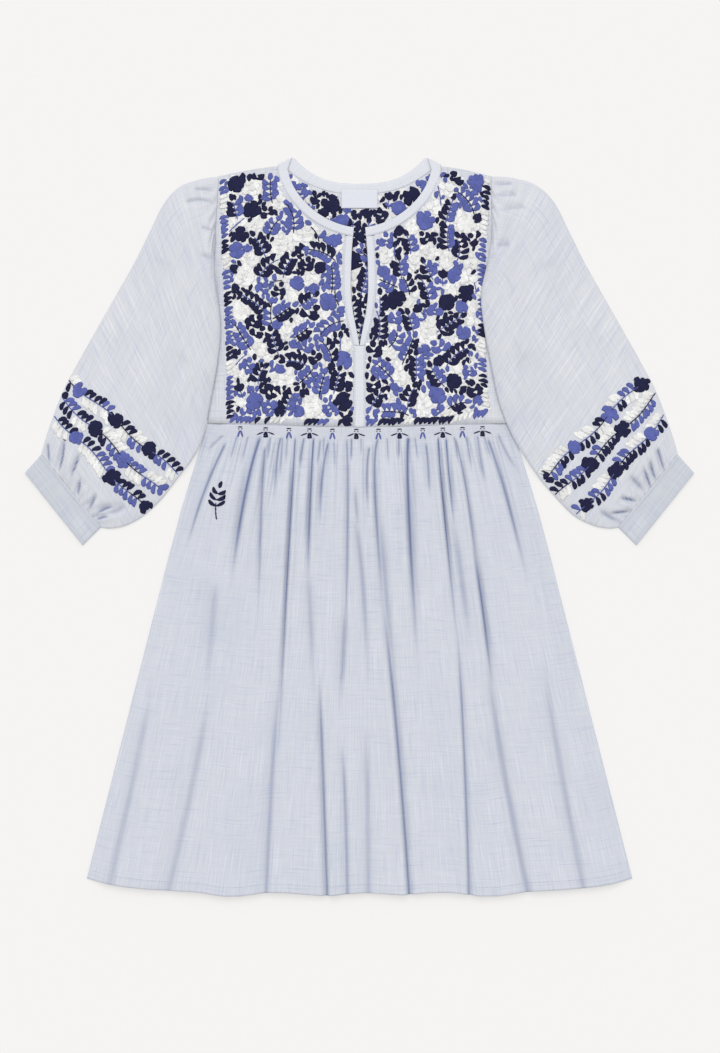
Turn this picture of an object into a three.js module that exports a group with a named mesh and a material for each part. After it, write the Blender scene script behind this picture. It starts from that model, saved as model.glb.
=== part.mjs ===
import * as THREE from 'three';

// A mini dress laid flat on its back: an embroidered yoke with a slit neck, gathered sleeves with cuffs,
// and a gathered skirt. Sizes are in millimetres. +X points to the right hand as one looks down on the
// front of the dress, +Y from the hem to the neck, and +Z up from the surface that it lies on. The origin
// is on that surface, under the middle of the dress. In names and tables, left is the -X side.

// Driving dimensions
const DRESS_LENGTH = 921.2; // top of the neckband to the lowest point of the hem
const NECK_TOP = DRESS_LENGTH / 2;
const HEM_LOWEST = -DRESS_LENGTH / 2;
const CLOTH = 1.2; // wall of a single layer
const EMBROIDERED = 2; // wall where the cloth is covered with stitching
const BAND = 1.8; // wall of the doubled neckband, slit bindings and cuffs
const SEAM_GAP = 0.3; // between pieces that are sewn together

const WAIST_SIDE_Y = 129; // the seam below the yoke, at its two ends
const WAIST_DIP = 5; // how far that seam sags in the middle
const WAIST_HALF = 190;
const HEM_HALF = 340.6;
const HEM_SIDE_Y = -439.4;
const HEM_SAG = 16; // how much lower the hem is in the middle than at the side seams

const YOKE_REST = 4.2; // height of the front yoke's underside over the surface
const YOKE_EDGE_RISE = 16; // the front yoke climbs from its seams to that height over this distance
const SKIRT_REST = 4.6; // height of the lowest folds of the front skirt panel
const SKIRT_EDGE_RISE = 30;
const SKIRT_LOFT = 6.5; // how far the front panel stands over its deepest folds
const BACK_RELIEF = 2.6; // how far the back panel's ridges stand off the surface

const SMOCKED_DEPTH = 16; // the stitched strip under the waist seam
const SMOCKED_RELIEF = 0.5;
const FRONT_GATHERS = 44;
const BACK_GATHERS = 36;
const SLEEVE_HEAD_GATHERS = 5;
const SLEEVE_CUFF_GATHERS = 9;

const BAND_WIDTH = 12.5;
const NECK_HALF = 90; // free edge of the front neckband
const NECK_DEPTH = 79;
const NECK_CENTRE_Y = 452;
const NECK_ROUNDNESS = 1.8; // exponent of the superellipse that the neckline follows
const NECK_PEAK_X = 84.5; // where the neckband folds over at the shoulder
const BACK_NECK_Y = 428.3; // lowest point of the back neckband's free edge
const BACK_NECK_RISE = 35.4;
const BACK_NECK_POWER = 2.83;
const BACK_SEAM_Y = 414.8; // the same for its seam
const BACK_SEAM_HALF = 97.3;
const BACK_SEAM_RISE = 36.2;
const BACK_SEAM_POWER = 2.385;

const SLIT_TOP_Y = 361.2;
const SLIT_FOOT_Y = 226;
const STRIP_HALF = 7; // half the width of the plain strip below the slit

const LABEL = { width: 45.6, height: 23.2, thickness: 0.8, top: 420.6 };

const PALE_BLUE = 0xcdd3e2;
const LIGHT_BLUE = 0xd8dbe6;
const STITCHED_BLUE = 0x6d76a8;

const { lerp, smoothstep, clamp } = THREE.MathUtils;
const wave = (turns) => Math.sin(2 * Math.PI * turns);

// The seam between yoke and skirt, at a place from -1 to 1 across the dress.
const waistY = (across) => WAIST_SIDE_Y - WAIST_DIP * (1 - across ** 2);

// Reads a table of rows at one value of its first column, with straight lines between the rows.
function lookUp(table, key, value, column) {
  const rising = table[0][key] < table.at(-1)[key];
  const rows = rising ? table : [...table].reverse();
  if (value <= rows[0][key]) return rows[0][column];
  for (let i = 1; i < rows.length; i++) {
    if (value > rows[i][key]) continue;
    const share = (value - rows[i - 1][key]) / (rows[i][key] - rows[i - 1][key]);
    return lerp(rows[i - 1][column], rows[i][column], share);
  }
  return rows.at(-1)[column];
}

// Joins two rows of points with triangles. Points are matched by their share of the way along a row, so
// the rows may differ in number.
function stitchRows(upper, lower, triangles, flipped) {
  let i = 0;
  let j = 0;
  while (i + 1 < upper.length || j + 1 < lower.length) {
    const nextUpper = upper[i + 1]?.share ?? Infinity;
    const nextLower = lower[j + 1]?.share ?? Infinity;
    const corners = [upper[i].id, lower[j].id];
    if (nextUpper <= nextLower) corners.push(upper[++i].id);
    else corners.push(lower[++j].id);
    triangles.push(...(flipped ? corners.reverse() : corners));
  }
}

// A wall of cloth through rows of points. Each point has its share along the row, and its place on the
// outer and on the inner face. A closed wall is a tube, whose rows run once round it.
function wallGeometry(rows, closed = false) {
  const positions = [];
  const triangles = [];
  const place = (share, [x, y, z]) => {
    positions.push(x, y, z);
    return { share, id: positions.length / 3 - 1 };
  };
  const face = (side) => rows.map((row) => {
    const line = row.map((point) => place(point.share, point[side]));
    if (closed) line.push({ share: 1, id: line[0].id });
    return line;
  });
  const outer = face('outer');
  const inner = face('inner');
  const quad = (a, b, c, d) => triangles.push(a.id, b.id, c.id, a.id, c.id, d.id);
  for (let r = 0; r + 1 < rows.length; r++) {
    stitchRows(outer[r], outer[r + 1], triangles, false);
    stitchRows(inner[r], inner[r + 1], triangles, true);
    if (closed) continue;
    quad(outer[r + 1][0], outer[r][0], inner[r][0], inner[r + 1][0]);
    quad(outer[r].at(-1), outer[r + 1].at(-1), inner[r + 1].at(-1), inner[r].at(-1));
  }
  const firstOuter = outer[0];
  const firstInner = inner[0];
  for (let i = 0; i + 1 < firstOuter.length; i++) {
    quad(firstOuter[i], firstOuter[i + 1], firstInner[i + 1], firstInner[i]);
  }
  const lastOuter = outer.at(-1);
  const lastInner = inner.at(-1);
  for (let i = 0; i + 1 < lastOuter.length; i++) {
    quad(lastOuter[i + 1], lastOuter[i], lastInner[i], lastInner[i + 1]);
  }
  const geometry = new THREE.BufferGeometry();
  geometry.setAttribute('position', new THREE.Float32BufferAttribute(positions, 3));
  geometry.setIndex(triangles);
  geometry.computeVertexNormals();
  return geometry;
}

// The same rows on the other side of the dress, in the order that keeps their faces pointing out.
function mirrorRows(rows, closed = false) {
  const across = ([x, y, z]) => [-x, y, z];
  const flip = (point) => ({
    share: closed && point.share === 0 ? 0 : 1 - point.share,
    outer: across(point.outer),
    inner: across(point.inner),
  });
  return rows.map((row) => {
    const line = row.map(flip);
    return closed ? [line[0], ...line.slice(1).reverse()] : line.reverse();
  });
}

// A point of a level wall: its place in plan, the height of its underside, and its thickness.
function layer(share, x, y, bottom, thickness) {
  return { share, outer: [x, y, bottom + thickness], inner: [x, y, bottom] };
}

function mesh(name, rows, colour, closed = false) {
  const material = new THREE.MeshStandardMaterial({
    color: colour,
    roughness: 0.85,
    metalness: 0,
    side: THREE.DoubleSide,
  });
  const made = new THREE.Mesh(wallGeometry(rows, closed), material);
  made.name = name;
  return made;
}

// Yoke

// Side edge of the yoke: the armhole seam, and below it the side seam under the sleeve.
const YOKE_SIDE = {
  left: [
    { y: 437, x: 176.5 },
    { y: 338, x: 182.3 },
    { y: 240, x: 187.5 },
    { y: WAIST_SIDE_Y, x: WAIST_HALF },
  ],
  right: [
    { y: 437, x: 165.4 },
    { y: 358, x: 165.4 },
    { y: 300, x: 172 },
    { y: 220, x: 184 },
    { y: WAIST_SIDE_Y, x: WAIST_HALF },
  ],
};

// Half the width of the slit, where its bindings end towards the yoke, and how high the yoke's row that
// starts there reaches its side seam.
const SLIT = [
  { y: SLIT_TOP_Y, half: 8.2, seam: 18.2, side: 334 },
  { y: 340, half: 9.8, seam: 19.8, side: 318 },
  { y: 318, half: 10.6, seam: 20.7, side: 300 },
  { y: 292, half: 10.6, seam: 20.5, side: 280 },
  { y: 268, half: 8, seam: 17.6, side: 262 },
  { y: 248, half: 4.2, seam: 13.2, side: 246 },
  { y: 235, half: 1.6, seam: 10, side: 234 },
  { y: SLIT_FOOT_Y, half: SEAM_GAP / 2, seam: STRIP_HALF, side: 225 },
];

// Angles round the neckline at which the yoke and its neckband have their rows, and the height at which
// the yoke's row reaches its side seam. The last one is at the slit's binding.
const NECK_STATIONS = [
  { angle: 0.1, side: 437 },
  { angle: 0.25, side: 424 },
  { angle: 0.4, side: 411 },
  { angle: 0.56, side: 399 },
  { angle: 0.73, side: 388 },
  { angle: 0.9, side: 376 },
  { angle: 1.07, side: 365 },
  { angle: 1.22, side: 355 },
  { angle: 1.355, side: 345 },
];
const BAND_END_ANGLE = 1.47; // where the neckband stops at the slit

// Columns of half a yoke, as shares from its side to its middle. Stitching covers all but the side margin.
const YOKE_COLUMNS = [
  { share: 0, stitched: 0 },
  { share: 0.045, stitched: 0 },
  { share: 0.1, stitched: 0.2 },
  { share: 0.15, stitched: 1 },
  { share: 0.36, stitched: 1 },
  { share: 0.58, stitched: 1 },
  { share: 0.8, stitched: 1 },
  { share: 0.97, stitched: 1 },
  { share: 1, stitched: 0.3 },
];

// A point of the neckline at an angle from the shoulder (0) to the middle (a quarter turn), on the curve
// that is the given distance outside the neckband's free edge.
function neckline(angle, outside) {
  const power = 2 / NECK_ROUNDNESS;
  return [
    -(NECK_HALF + outside) * Math.cos(angle) ** power,
    NECK_CENTRE_Y - (NECK_DEPTH + outside * 0.92) * Math.sin(angle) ** power,
  ];
}

function yokeHalfRows(sideEdge) {
  const besideNeck = NECK_STATIONS.map(({ angle, side }) => ({
    side,
    inner: neckline(angle, BAND_WIDTH + SEAM_GAP),
  }));
  const besideSlit = SLIT.map(({ y, seam, side }) => ({ side, inner: [-seam - SEAM_GAP, y] }));
  const besideStrip = [
    { side: 176, inner: [-STRIP_HALF - SEAM_GAP, 173] },
    { side: WAIST_SIDE_Y, inner: [-STRIP_HALF - SEAM_GAP, WAIST_SIDE_Y - WAIST_DIP] },
  ];
  return [...besideNeck, ...besideSlit, ...besideStrip].map(({ side, inner }, r) => {
    const sideX = -lookUp(sideEdge, 'y', side, 'x');
    return YOKE_COLUMNS.map(({ share, stitched }) => {
      const x = lerp(sideX, inner[0], share);
      const shoulderBow = r === 0 ? 2.5 * Math.sin(Math.PI * share) : 0;
      const y = lerp(side, inner[1], share) + shoulderBow;
      const fromShoulder = smoothstep(r, 0, 2);
      const fromSide = smoothstep(x - sideX, 0, YOKE_EDGE_RISE);
      const bottom = lerp(EMBROIDERED + SEAM_GAP, YOKE_REST, fromShoulder * fromSide);
      return layer(share, x, y, bottom, lerp(CLOTH, EMBROIDERED, stitched));
    });
  });
}

// Top edge of the back yoke: the seam of the neckband, and the shoulder seams beside it.
function backYokeTop(x) {
  const reach = Math.abs(x) / BACK_SEAM_HALF;
  if (reach <= 1) return BACK_SEAM_Y + BACK_SEAM_RISE * reach ** BACK_SEAM_POWER - SEAM_GAP;
  const edge = x < 0 ? YOKE_SIDE.left[0] : YOKE_SIDE.right[0];
  const neckEnd = BACK_SEAM_Y + BACK_SEAM_RISE - SEAM_GAP;
  const share = (Math.abs(x) - BACK_SEAM_HALF) / (edge.x - BACK_SEAM_HALF);
  return lerp(neckEnd, edge.y, share) + 1.6 * Math.sin(Math.PI * share);
}

// Places across the back of the neck at which the neckband and the yoke have their points, from -1 to 1.
const BACK_NECK_STATIONS = Array.from({ length: 15 }, (_, i) => (i - 7) / 7);
const BACK_YOKE_ROWS = [0, 0.08, 0.257, 0.45, 0.7, 1];

function yokeBackRows() {
  const left = YOKE_SIDE.left[0].x;
  const right = YOKE_SIDE.right[0].x;
  const tops = [
    -left,
    lerp(-left, -BACK_SEAM_HALF, 0.5),
    ...BACK_NECK_STATIONS.map((at) => at * BACK_SEAM_HALF),
    lerp(right, BACK_SEAM_HALF, 0.5),
    right,
  ];
  return BACK_YOKE_ROWS.map((down) => tops.map((topX) => {
    const share = (topX + left) / (left + right);
    const footY = waistY(2 * share - 1);
    const y = lerp(backYokeTop(topX), footY, down);
    const x = lerp(-lookUp(YOKE_SIDE.left, 'y', y, 'x'), lookUp(YOKE_SIDE.right, 'y', y, 'x'), share);
    return layer(share, down === 0 ? topX : x, y, 0, EMBROIDERED);
  }));
}

// Neckband, slit bindings and front strip

const BAND_COLUMNS = [
  { share: 0, crown: -0.3 },
  { share: 0.2, crown: 0 },
  { share: 0.8, crown: 0 },
  { share: 1, crown: -0.3 },
];

// From the shoulder, where it folds over onto the back, to the slit.
function neckbandFrontRows() {
  const shoulder = { seam: [-101.6, 451.8], free: [-NECK_PEAK_X, NECK_TOP], rise: 0 };
  const angles = [...NECK_STATIONS.map((station) => station.angle), BAND_END_ANGLE];
  const along = angles.map((angle) => ({
    seam: neckline(angle, BAND_WIDTH),
    free: neckline(angle, 0),
    rise: smoothstep(angle, 0, 0.6),
  }));
  return [shoulder, ...along].map(({ seam, free, rise }) => BAND_COLUMNS.map(({ share, crown }) => {
    const bottom = lerp(BAND + 2 * SEAM_GAP, YOKE_REST, rise);
    return layer(share, lerp(seam[0], free[0], share), lerp(seam[1], free[1], share), bottom, BAND + crown);
  }));
}

// Across the back of the neck, from one shoulder fold to the other.
function neckbandBackRows() {
  const free = (at) => [
    at * NECK_PEAK_X,
    Math.min(NECK_TOP, BACK_NECK_Y + BACK_NECK_RISE * Math.abs(at) ** BACK_NECK_POWER),
  ];
  const seam = (at) => [
    at * BACK_SEAM_HALF,
    BACK_SEAM_Y + BACK_SEAM_RISE * Math.abs(at) ** BACK_SEAM_POWER,
  ];
  return BAND_COLUMNS.map(({ share, crown }) => BACK_NECK_STATIONS.map((at, i) => {
    const [x, y] = free(at).map((value, axis) => lerp(value, seam(at)[axis], share));
    return layer(i / (BACK_NECK_STATIONS.length - 1), x, y, 0, BAND + crown);
  }));
}

function slitBindingRows() {
  return SLIT.map(({ y, half, seam }) => BAND_COLUMNS.map(({ share, crown }) => (
    layer(share, -lerp(seam, half, share), y, YOKE_REST, BAND + crown)
  )));
}

function frontStripRows() {
  return [SLIT_FOOT_Y - SEAM_GAP, 200, 160, waistY(0)].map((y) => (
    BAND_COLUMNS.map(({ share, crown }) => (
      layer(share, lerp(-STRIP_HALF, STRIP_HALF, share), y, YOKE_REST, BAND + crown)
    ))
  ));
}

function neckLabelRows() {
  return [LABEL.top, LABEL.top - LABEL.height].map((y) => [0, 1].map((share) => (
    layer(share, (share - 0.5) * LABEL.width, y, EMBROIDERED + SEAM_GAP, LABEL.thickness)
  )));
}

// Skirt

// The largest folds of the front panel, as troughs between its ridges. Places are shares of the half
// width, from -1 at the left side seam to 1 at the right. Starts and ends are shares of the length.
const FRONT_FOLDS = [
  { waist: -0.9, hem: -0.86, start: 0.1, end: 0.95, depth: 2.5, breadth: 20 },
  { waist: -0.67, hem: -0.63, start: 0.02, end: 0.6, depth: 5.5, breadth: 11 },
  { waist: -0.55, hem: -0.46, start: 0.18, end: 1.1, depth: 3, breadth: 15 },
  { waist: -0.42, hem: -0.31, start: 0.02, end: 0.95, depth: 5, breadth: 9 },
  { waist: -0.3, hem: -0.22, start: 0.02, end: 0.5, depth: 4, breadth: 8 },
  { waist: -0.21, hem: -0.12, start: 0.35, end: 1.2, depth: 5.5, breadth: 10 },
  { waist: -0.08, hem: -0.04, start: 0.1, end: 0.9, depth: 4, breadth: 13 },
  { waist: 0.03, hem: 0.19, start: 0.28, end: 1.2, depth: 5.5, breadth: 10 },
  { waist: 0.31, hem: 0.27, start: 0.02, end: 0.8, depth: 6.5, breadth: 10 },
  { waist: 0.5, hem: 0.39, start: 0.3, end: 1.2, depth: 5, breadth: 10 },
  { waist: 0.64, hem: 0.59, start: 0.1, end: 1.1, depth: 6.5, breadth: 13 },
  { waist: 0.87, hem: 0.74, start: 0.05, end: 1.1, depth: 3.5, breadth: 20 },
];

const BACK_FOLDS = [
  { waist: -0.8, hem: -0.76, start: 0.05, end: 1.1, depth: 2, breadth: 22 },
  { waist: -0.5, hem: -0.52, start: 0.05, end: 0.8, depth: 2.4, breadth: 16 },
  { waist: -0.28, hem: -0.22, start: 0.2, end: 1.2, depth: 2.4, breadth: 18 },
  { waist: -0.02, hem: 0.02, start: 0.05, end: 1, depth: 2.2, breadth: 20 },
  { waist: 0.24, hem: 0.28, start: 0.05, end: 0.9, depth: 2.4, breadth: 16 },
  { waist: 0.5, hem: 0.46, start: 0.25, end: 1.2, depth: 2.4, breadth: 18 },
  { waist: 0.78, hem: 0.78, start: 0.05, end: 1.1, depth: 2, breadth: 22 },
];

// Half the skirt's width at shares of its length.
const SIDE_SEAM = [
  { along: 0, half: WAIST_HALF },
  { along: 0.0985, half: 206.9 },
  { along: 0.19, half: 222.8 },
  { along: 0.3, half: 239.4 },
  { along: 1, half: HEM_HALF },
];

// The lowest stretches of the hem, where a fold spreads out. Places are shares of its half width.
const HEM_WAVES = [
  { at: -0.47, drop: 5.8, breadth: 0.1 },
  { at: -0.13, drop: 4.6, breadth: 0.11 },
  { at: 0.15, drop: 3.4, breadth: 0.1 },
  { at: 0.475, drop: 5.8, breadth: 0.1 },
];

// Distances of the rows below the waist seam. The first ones have a point on each gather's ridge and
// valley, and the others follow the folds.
const FRONT_ROWS = { gathered: [0, SMOCKED_DEPTH, 30, 55, 105], folded: [165, 235, 310, 395, 485] };
const BACK_ROWS = { gathered: [0, SMOCKED_DEPTH, 42, 95], folded: [170, 310, 450] };

// How high the gathers' ridges stand at each distance below the waist seam.
const GATHER_HEIGHT = [
  { down: SMOCKED_DEPTH, ridge: 0.6 },
  { down: 30, ridge: 2.6 },
  { down: 55, ridge: 2.4 },
  { down: 105, ridge: 1.2 },
  { down: 165, ridge: 0 },
];

const halfWidth = (along) => lookUp(SIDE_SEAM, 'along', along, 'half');

function hemY(across) {
  const sagged = HEM_SIDE_Y - HEM_SAG * (1 - across ** 6);
  const drop = HEM_WAVES.reduce((sum, low) => (
    sum + low.drop * Math.exp(-(((across - low.at) / low.breadth) ** 2))
  ), 0);
  return Math.max(HEM_LOWEST, sagged - drop);
}

// A place on a panel: across is -1 to 1 between the side seams, and along is 0 at the waist, 1 at the hem.
function skirtPlan(across, along) {
  return [across * halfWidth(along), lerp(waistY(across) - SEAM_GAP, hemY(across), along)];
}

const foldAt = (fold, along) => lerp(fold.waist, fold.hem, along);

// How deep the folds are at a place, as a share of the loft that they cut into.
function foldDepth(folds, across, along) {
  return folds.reduce((sum, fold) => {
    const away = (across - foldAt(fold, along)) * halfWidth(along) / fold.breadth;
    const begins = smoothstep(along, fold.start, fold.start + 0.12);
    const fades = smoothstep(along, fold.end - 0.25, fold.end);
    return sum + fold.depth * begins * (1 - fades) * Math.exp(-away * away);
  }, 0);
}

// Shares along a folded row: each fold's bottom and its two shoulders, and the ridges between folds.
function foldedColumns(folds, along) {
  const half = halfWidth(along);
  const marks = folds.flatMap((fold) => {
    const centre = foldAt(fold, along);
    return [centre - fold.breadth / half, centre, centre + fold.breadth / half];
  });
  const ridges = folds.slice(1).map((fold, i) => (foldAt(fold, along) + foldAt(folds[i], along)) / 2);
  const besideSeam = [0, 0.4 * SKIRT_EDGE_RISE / half, SKIRT_EDGE_RISE / half];
  const edges = besideSeam.flatMap((away) => [away - 1, 1 - away]);
  const sorted = [...marks, ...ridges, ...edges].sort((a, b) => a - b);
  const closest = 4 / half;
  return sorted.filter((value, i) => i === 0 || i === sorted.length - 1
    || (value - sorted[i - 1] > closest && 1 - value > closest));
}

function gatheredColumns(gathers) {
  return Array.from({ length: 2 * gathers + 1 }, (_, k) => {
    const even = k / gathers - 1;
    return even + 0.006 * wave(k / 7.3) * (1 - even ** 2);
  });
}

// The share of its full height that a panel has reached at a place near its side seam.
function fromSeam(across, along) {
  return smoothstep((1 - Math.abs(across)) * halfWidth(along), 0, SKIRT_EDGE_RISE);
}

function skirtRows(rows, folds, gathers, pointAt) {
  const length = WAIST_SIDE_Y - HEM_SIDE_Y;
  const distances = [...rows.gathered, ...rows.folded, length];
  return distances.map((down, r) => {
    const along = down / length;
    const gathered = r < rows.gathered.length;
    const columns = gathered ? gatheredColumns(gathers) : foldedColumns(folds, along);
    return columns.map((across, k) => {
      const evenness = 0.8 + 0.2 * wave(k / 5.7);
      const ridge = gathered && k % 2 === 1 ? lookUp(GATHER_HEIGHT, 'down', down, 'ridge') * evenness : 0;
      return pointAt(across, along, down, ridge);
    });
  });
}

function skirtFrontPoint(across, along, down, ridge) {
  const [x, y] = skirtPlan(across, along);
  const loft = SKIRT_LOFT * smoothstep(down, SMOCKED_DEPTH, 90);
  const depth = foldDepth(FRONT_FOLDS, across, along) * smoothstep(down, SMOCKED_DEPTH, 60);
  const lift = Math.max(0, loft - depth);
  const rest = lerp(YOKE_REST, SKIRT_REST, smoothstep(down, 0, 60));
  const smocked = down <= SMOCKED_DEPTH;
  const full = rest + lift + (smocked ? 0 : ridge);
  const bottom = lerp(CLOTH + SEAM_GAP, full, fromSeam(across, along));
  return layer((across + 1) / 2, x, y, bottom, CLOTH + (smocked ? SMOCKED_RELIEF * Math.sign(ridge) : 0));
}

// The back panel is flat where it rests, and its ridges are clear of the front panel above.
function skirtBackPoint(across, along, down, ridge) {
  const [x, y] = skirtPlan(across, along);
  const smocked = down <= SMOCKED_DEPTH;
  const loft = BACK_RELIEF * smoothstep(down, SMOCKED_DEPTH, 120);
  const lift = Math.max(0, loft - foldDepth(BACK_FOLDS, across, along) * 1.4);
  const full = Math.min(BACK_RELIEF, lift + (smocked ? 0 : 0.6 * ridge));
  const raised = down >= WAIST_SIDE_Y - HEM_SIDE_Y ? 0.5 * full : full;
  return layer((across + 1) / 2, x, y, raised * fromSeam(across, along), CLOTH);
}

// Sleeves

// Sections across a sleeve, from the armhole seam to the cuff seam: the fold along its outer side, the
// fold along its inner side, and how far the upper layer stands over the lower one in the middle. The
// inner fold lies on the yoke and on the top corner of the skirt.
const SLEEVE = {
  left: [
    { outerX: 177.1, outerY: 436.6, innerX: 182.9, innerY: 338, loft: 2.5 },
    { outerX: 186, outerY: 436, innerX: 181.8, innerY: 326, loft: 5 },
    { outerX: 201, outerY: 433, innerX: 178.6, innerY: 300, loft: 8 },
    { outerX: 225, outerY: 424, innerX: 173, innerY: 252, loft: 10 },
    { outerX: 244.5, outerY: 403, innerX: 176.3, innerY: 208, loft: 11 },
    { outerX: 262.5, outerY: 367, innerX: 186.3, innerY: 152, loft: 11 },
    { outerX: 282.5, outerY: 327, innerX: 196, innerY: 108, loft: 11 },
    { outerX: 307.5, outerY: 283, innerX: 209, innerY: 83, loft: 11 },
    { outerX: 333, outerY: 238, innerX: 228.5, innerY: 58, loft: 11 },
    { outerX: 352, outerY: 204, innerX: 247, innerY: 34, loft: 11 },
    { outerX: 369, outerY: 172, innerX: 270.5, innerY: 12.5, loft: 11 },
    { outerX: 381.5, outerY: 141, innerX: 292, innerY: 1, loft: 9.5 },
    { outerX: 391.5, outerY: 112, innerX: 310, innerY: -2.6, loft: 6 },
    { outerX: 398.1, outerY: 89.1, innerX: 323.5, innerY: -1.6, loft: 1 },
  ],
  right: [
    { outerX: 166, outerY: 437, innerX: 166, innerY: 358, loft: 2.5 },
    { outerX: 176, outerY: 437, innerX: 163, innerY: 341, loft: 5 },
    { outerX: 193, outerY: 435, innerX: 158, innerY: 323, loft: 8 },
    { outerX: 220, outerY: 426.5, innerX: 151.5, innerY: 290, loft: 10 },
    { outerX: 243, outerY: 405, innerX: 154, innerY: 255, loft: 11 },
    { outerX: 262.5, outerY: 367, innerX: 163, innerY: 204, loft: 11 },
    { outerX: 282.5, outerY: 327, innerX: 174, innerY: 154, loft: 11 },
    { outerX: 307.5, outerY: 283, innerX: 192, innerY: 110, loft: 11 },
    { outerX: 333, outerY: 238, innerX: 220, innerY: 66, loft: 11 },
    { outerX: 352, outerY: 204, innerX: 243, innerY: 38, loft: 11 },
    { outerX: 369, outerY: 172, innerX: 268, innerY: 13, loft: 11 },
    { outerX: 381.5, outerY: 141, innerX: 292, innerY: 1, loft: 9.5 },
    { outerX: 391.5, outerY: 112, innerX: 310, innerY: -2.6, loft: 6 },
    { outerX: 398.1, outerY: 89.1, innerX: 323.5, innerY: -1.6, loft: 1 },
  ],
};

const SLEEVE_OVER_YOKE = 6.6; // height of the lower layer where it lies on the yoke
const SLEEVE_OVER_SKIRT = 4.4; // and where it lies on the skirt's top corner
const SLEEVE_EDGE = 3.4; // height of the folds along the sleeve's sides
const SLEEVE_FOLD = 2.4; // breadth of those folds
const UPPER_COLUMNS = 19;
const LOWER_COLUMNS = 5;

// Where the lower layer has to climb over the yoke or the skirt, and how far.
function underSleeve(side, x, y) {
  const edge = y > WAIST_SIDE_Y
    ? lookUp(YOKE_SIDE[side], 'y', y, 'x')
    : halfWidth((WAIST_SIDE_Y - y) / (WAIST_SIDE_Y - HEM_SIDE_Y));
  const seamEnd = SLEEVE[side][0].innerY;
  const belowSeam = 1 - smoothstep(y, seamEnd + 15, seamEnd + 55);
  const overYoke = smoothstep(y, WAIST_SIDE_Y - 10, WAIST_SIDE_Y + 25);
  const height = lerp(SLEEVE_OVER_SKIRT, SLEEVE_OVER_YOKE, overYoke);
  return height * belowSeam * (1 - smoothstep(x - edge, 4, 26));
}

// The share of a section, from its outer fold, at which it is a given distance outside the yoke's side.
function shareOutside(side, section, distance) {
  for (let share = 0.3; share < 0.93; share += 0.01) {
    const x = lerp(section.outerX, section.innerX, share);
    const y = lerp(section.outerY, section.innerY, share);
    const edge = y > WAIST_SIDE_Y
      ? lookUp(YOKE_SIDE[side], 'y', y, 'x')
      : halfWidth((WAIST_SIDE_Y - y) / (WAIST_SIDE_Y - HEM_SIDE_Y));
    if (x - edge < distance) return share;
  }
  return distance > 10 ? 0.86 : 0.93;
}

// One ring of the flattened tube: the outer fold, the upper layer, the inner fold and the lower layer.
function sleeveRing(side, section, along) {
  const width = Math.hypot(section.outerX - section.innerX, section.outerY - section.innerY);
  const fold = SLEEVE_FOLD / width;
  const wall = CLOTH / width;
  const at = (share) => [
    lerp(section.outerX, section.innerX, share),
    lerp(section.outerY, section.innerY, share),
  ];
  const below = (share) => underSleeve(side, ...at(share));
  const headGather = (1 - smoothstep(along, 0.02, 0.22)) * smoothstep(along, -0.02, 0.03);
  const cuffGather = smoothstep(along, 0.82, 0.95);
  const gather = (share) => 1.6 * headGather * wave(SLEEVE_HEAD_GATHERS * share ** 1.2)
    + 1.3 * cuffGather * wave(SLEEVE_CUFF_GATHERS * share);
  const arch = (share) => section.loft * (4 * share * (1 - share)) ** 0.7;
  const softened = (share) => smoothstep(Math.min(share, 1 - share), 0, 0.12);
  const puff = (share) => Math.max(0.2 * arch(share), arch(share) + gather(share) * softened(share));
  const top = (share) => below(share) + SLEEVE_EDGE + puff(share);
  const point = (share, outerZ, innerShare, innerZ) => ({
    outer: [...at(share), outerZ],
    inner: [...at(innerShare), innerZ],
  });
  const foldPoint = (share, innerShare) => {
    const middle = below(share) + SLEEVE_EDGE / 2;
    return point(share, middle, innerShare, middle);
  };
  const insideShare = (share) => clamp(share, 1.6 * fold, 1 - 1.6 * fold);
  const upperShares = Array.from({ length: UPPER_COLUMNS }, (_, i) => (
    lerp(fold, 1 - fold, i / (UPPER_COLUMNS - 1))
  ));
  const upper = upperShares.map((share) => point(share, top(share), insideShare(share), top(share) - CLOTH));
  const climb = shareOutside(side, section, 4);
  const foot = Math.min(shareOutside(side, section, 26), climb - 0.04);
  const lowerShares = [
    1 - fold,
    ...(climb < 0.93 - 0.001 ? [lerp(climb, 1 - fold, 0.5)] : [0.965]),
    climb,
    lerp(foot, climb, 0.5),
    foot,
    ...Array.from({ length: LOWER_COLUMNS - 1 }, (_, i) => foot * (1 - (i + 1) / LOWER_COLUMNS)),
    fold,
  ];
  const lower = lowerShares.map((share) => (
    point(share, below(share), insideShare(share), below(share) + CLOTH)
  ));
  const ring = [foldPoint(0, wall * 1.2), ...upper, foldPoint(1, 1 - wall * 1.2), ...lower];
  return ring.map((points, i) => ({ share: i / ring.length, ...points }));
}

function sleeveRows(side) {
  const sections = SLEEVE[side];
  const rings = sections.map((section, i) => sleeveRing(side, section, i / (sections.length - 1)));
  return rings.map((ring) => ring.map(({ share, outer, inner }) => ({
    share,
    outer: [-outer[0], outer[1], outer[2]],
    inner: [-inner[0], inner[1], inner[2]],
  })));
}

// Cuffs

const CUFF_SEAM = { outer: [398.1, 89.1], inner: [323.5, -1.6] };
const CUFF_END = { outer: [418.1, 66.9], inner: [345.6, -23.5] };
const CUFF_HEIGHT = 4.8;
const CUFF_LENGTH = 30;

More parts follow.
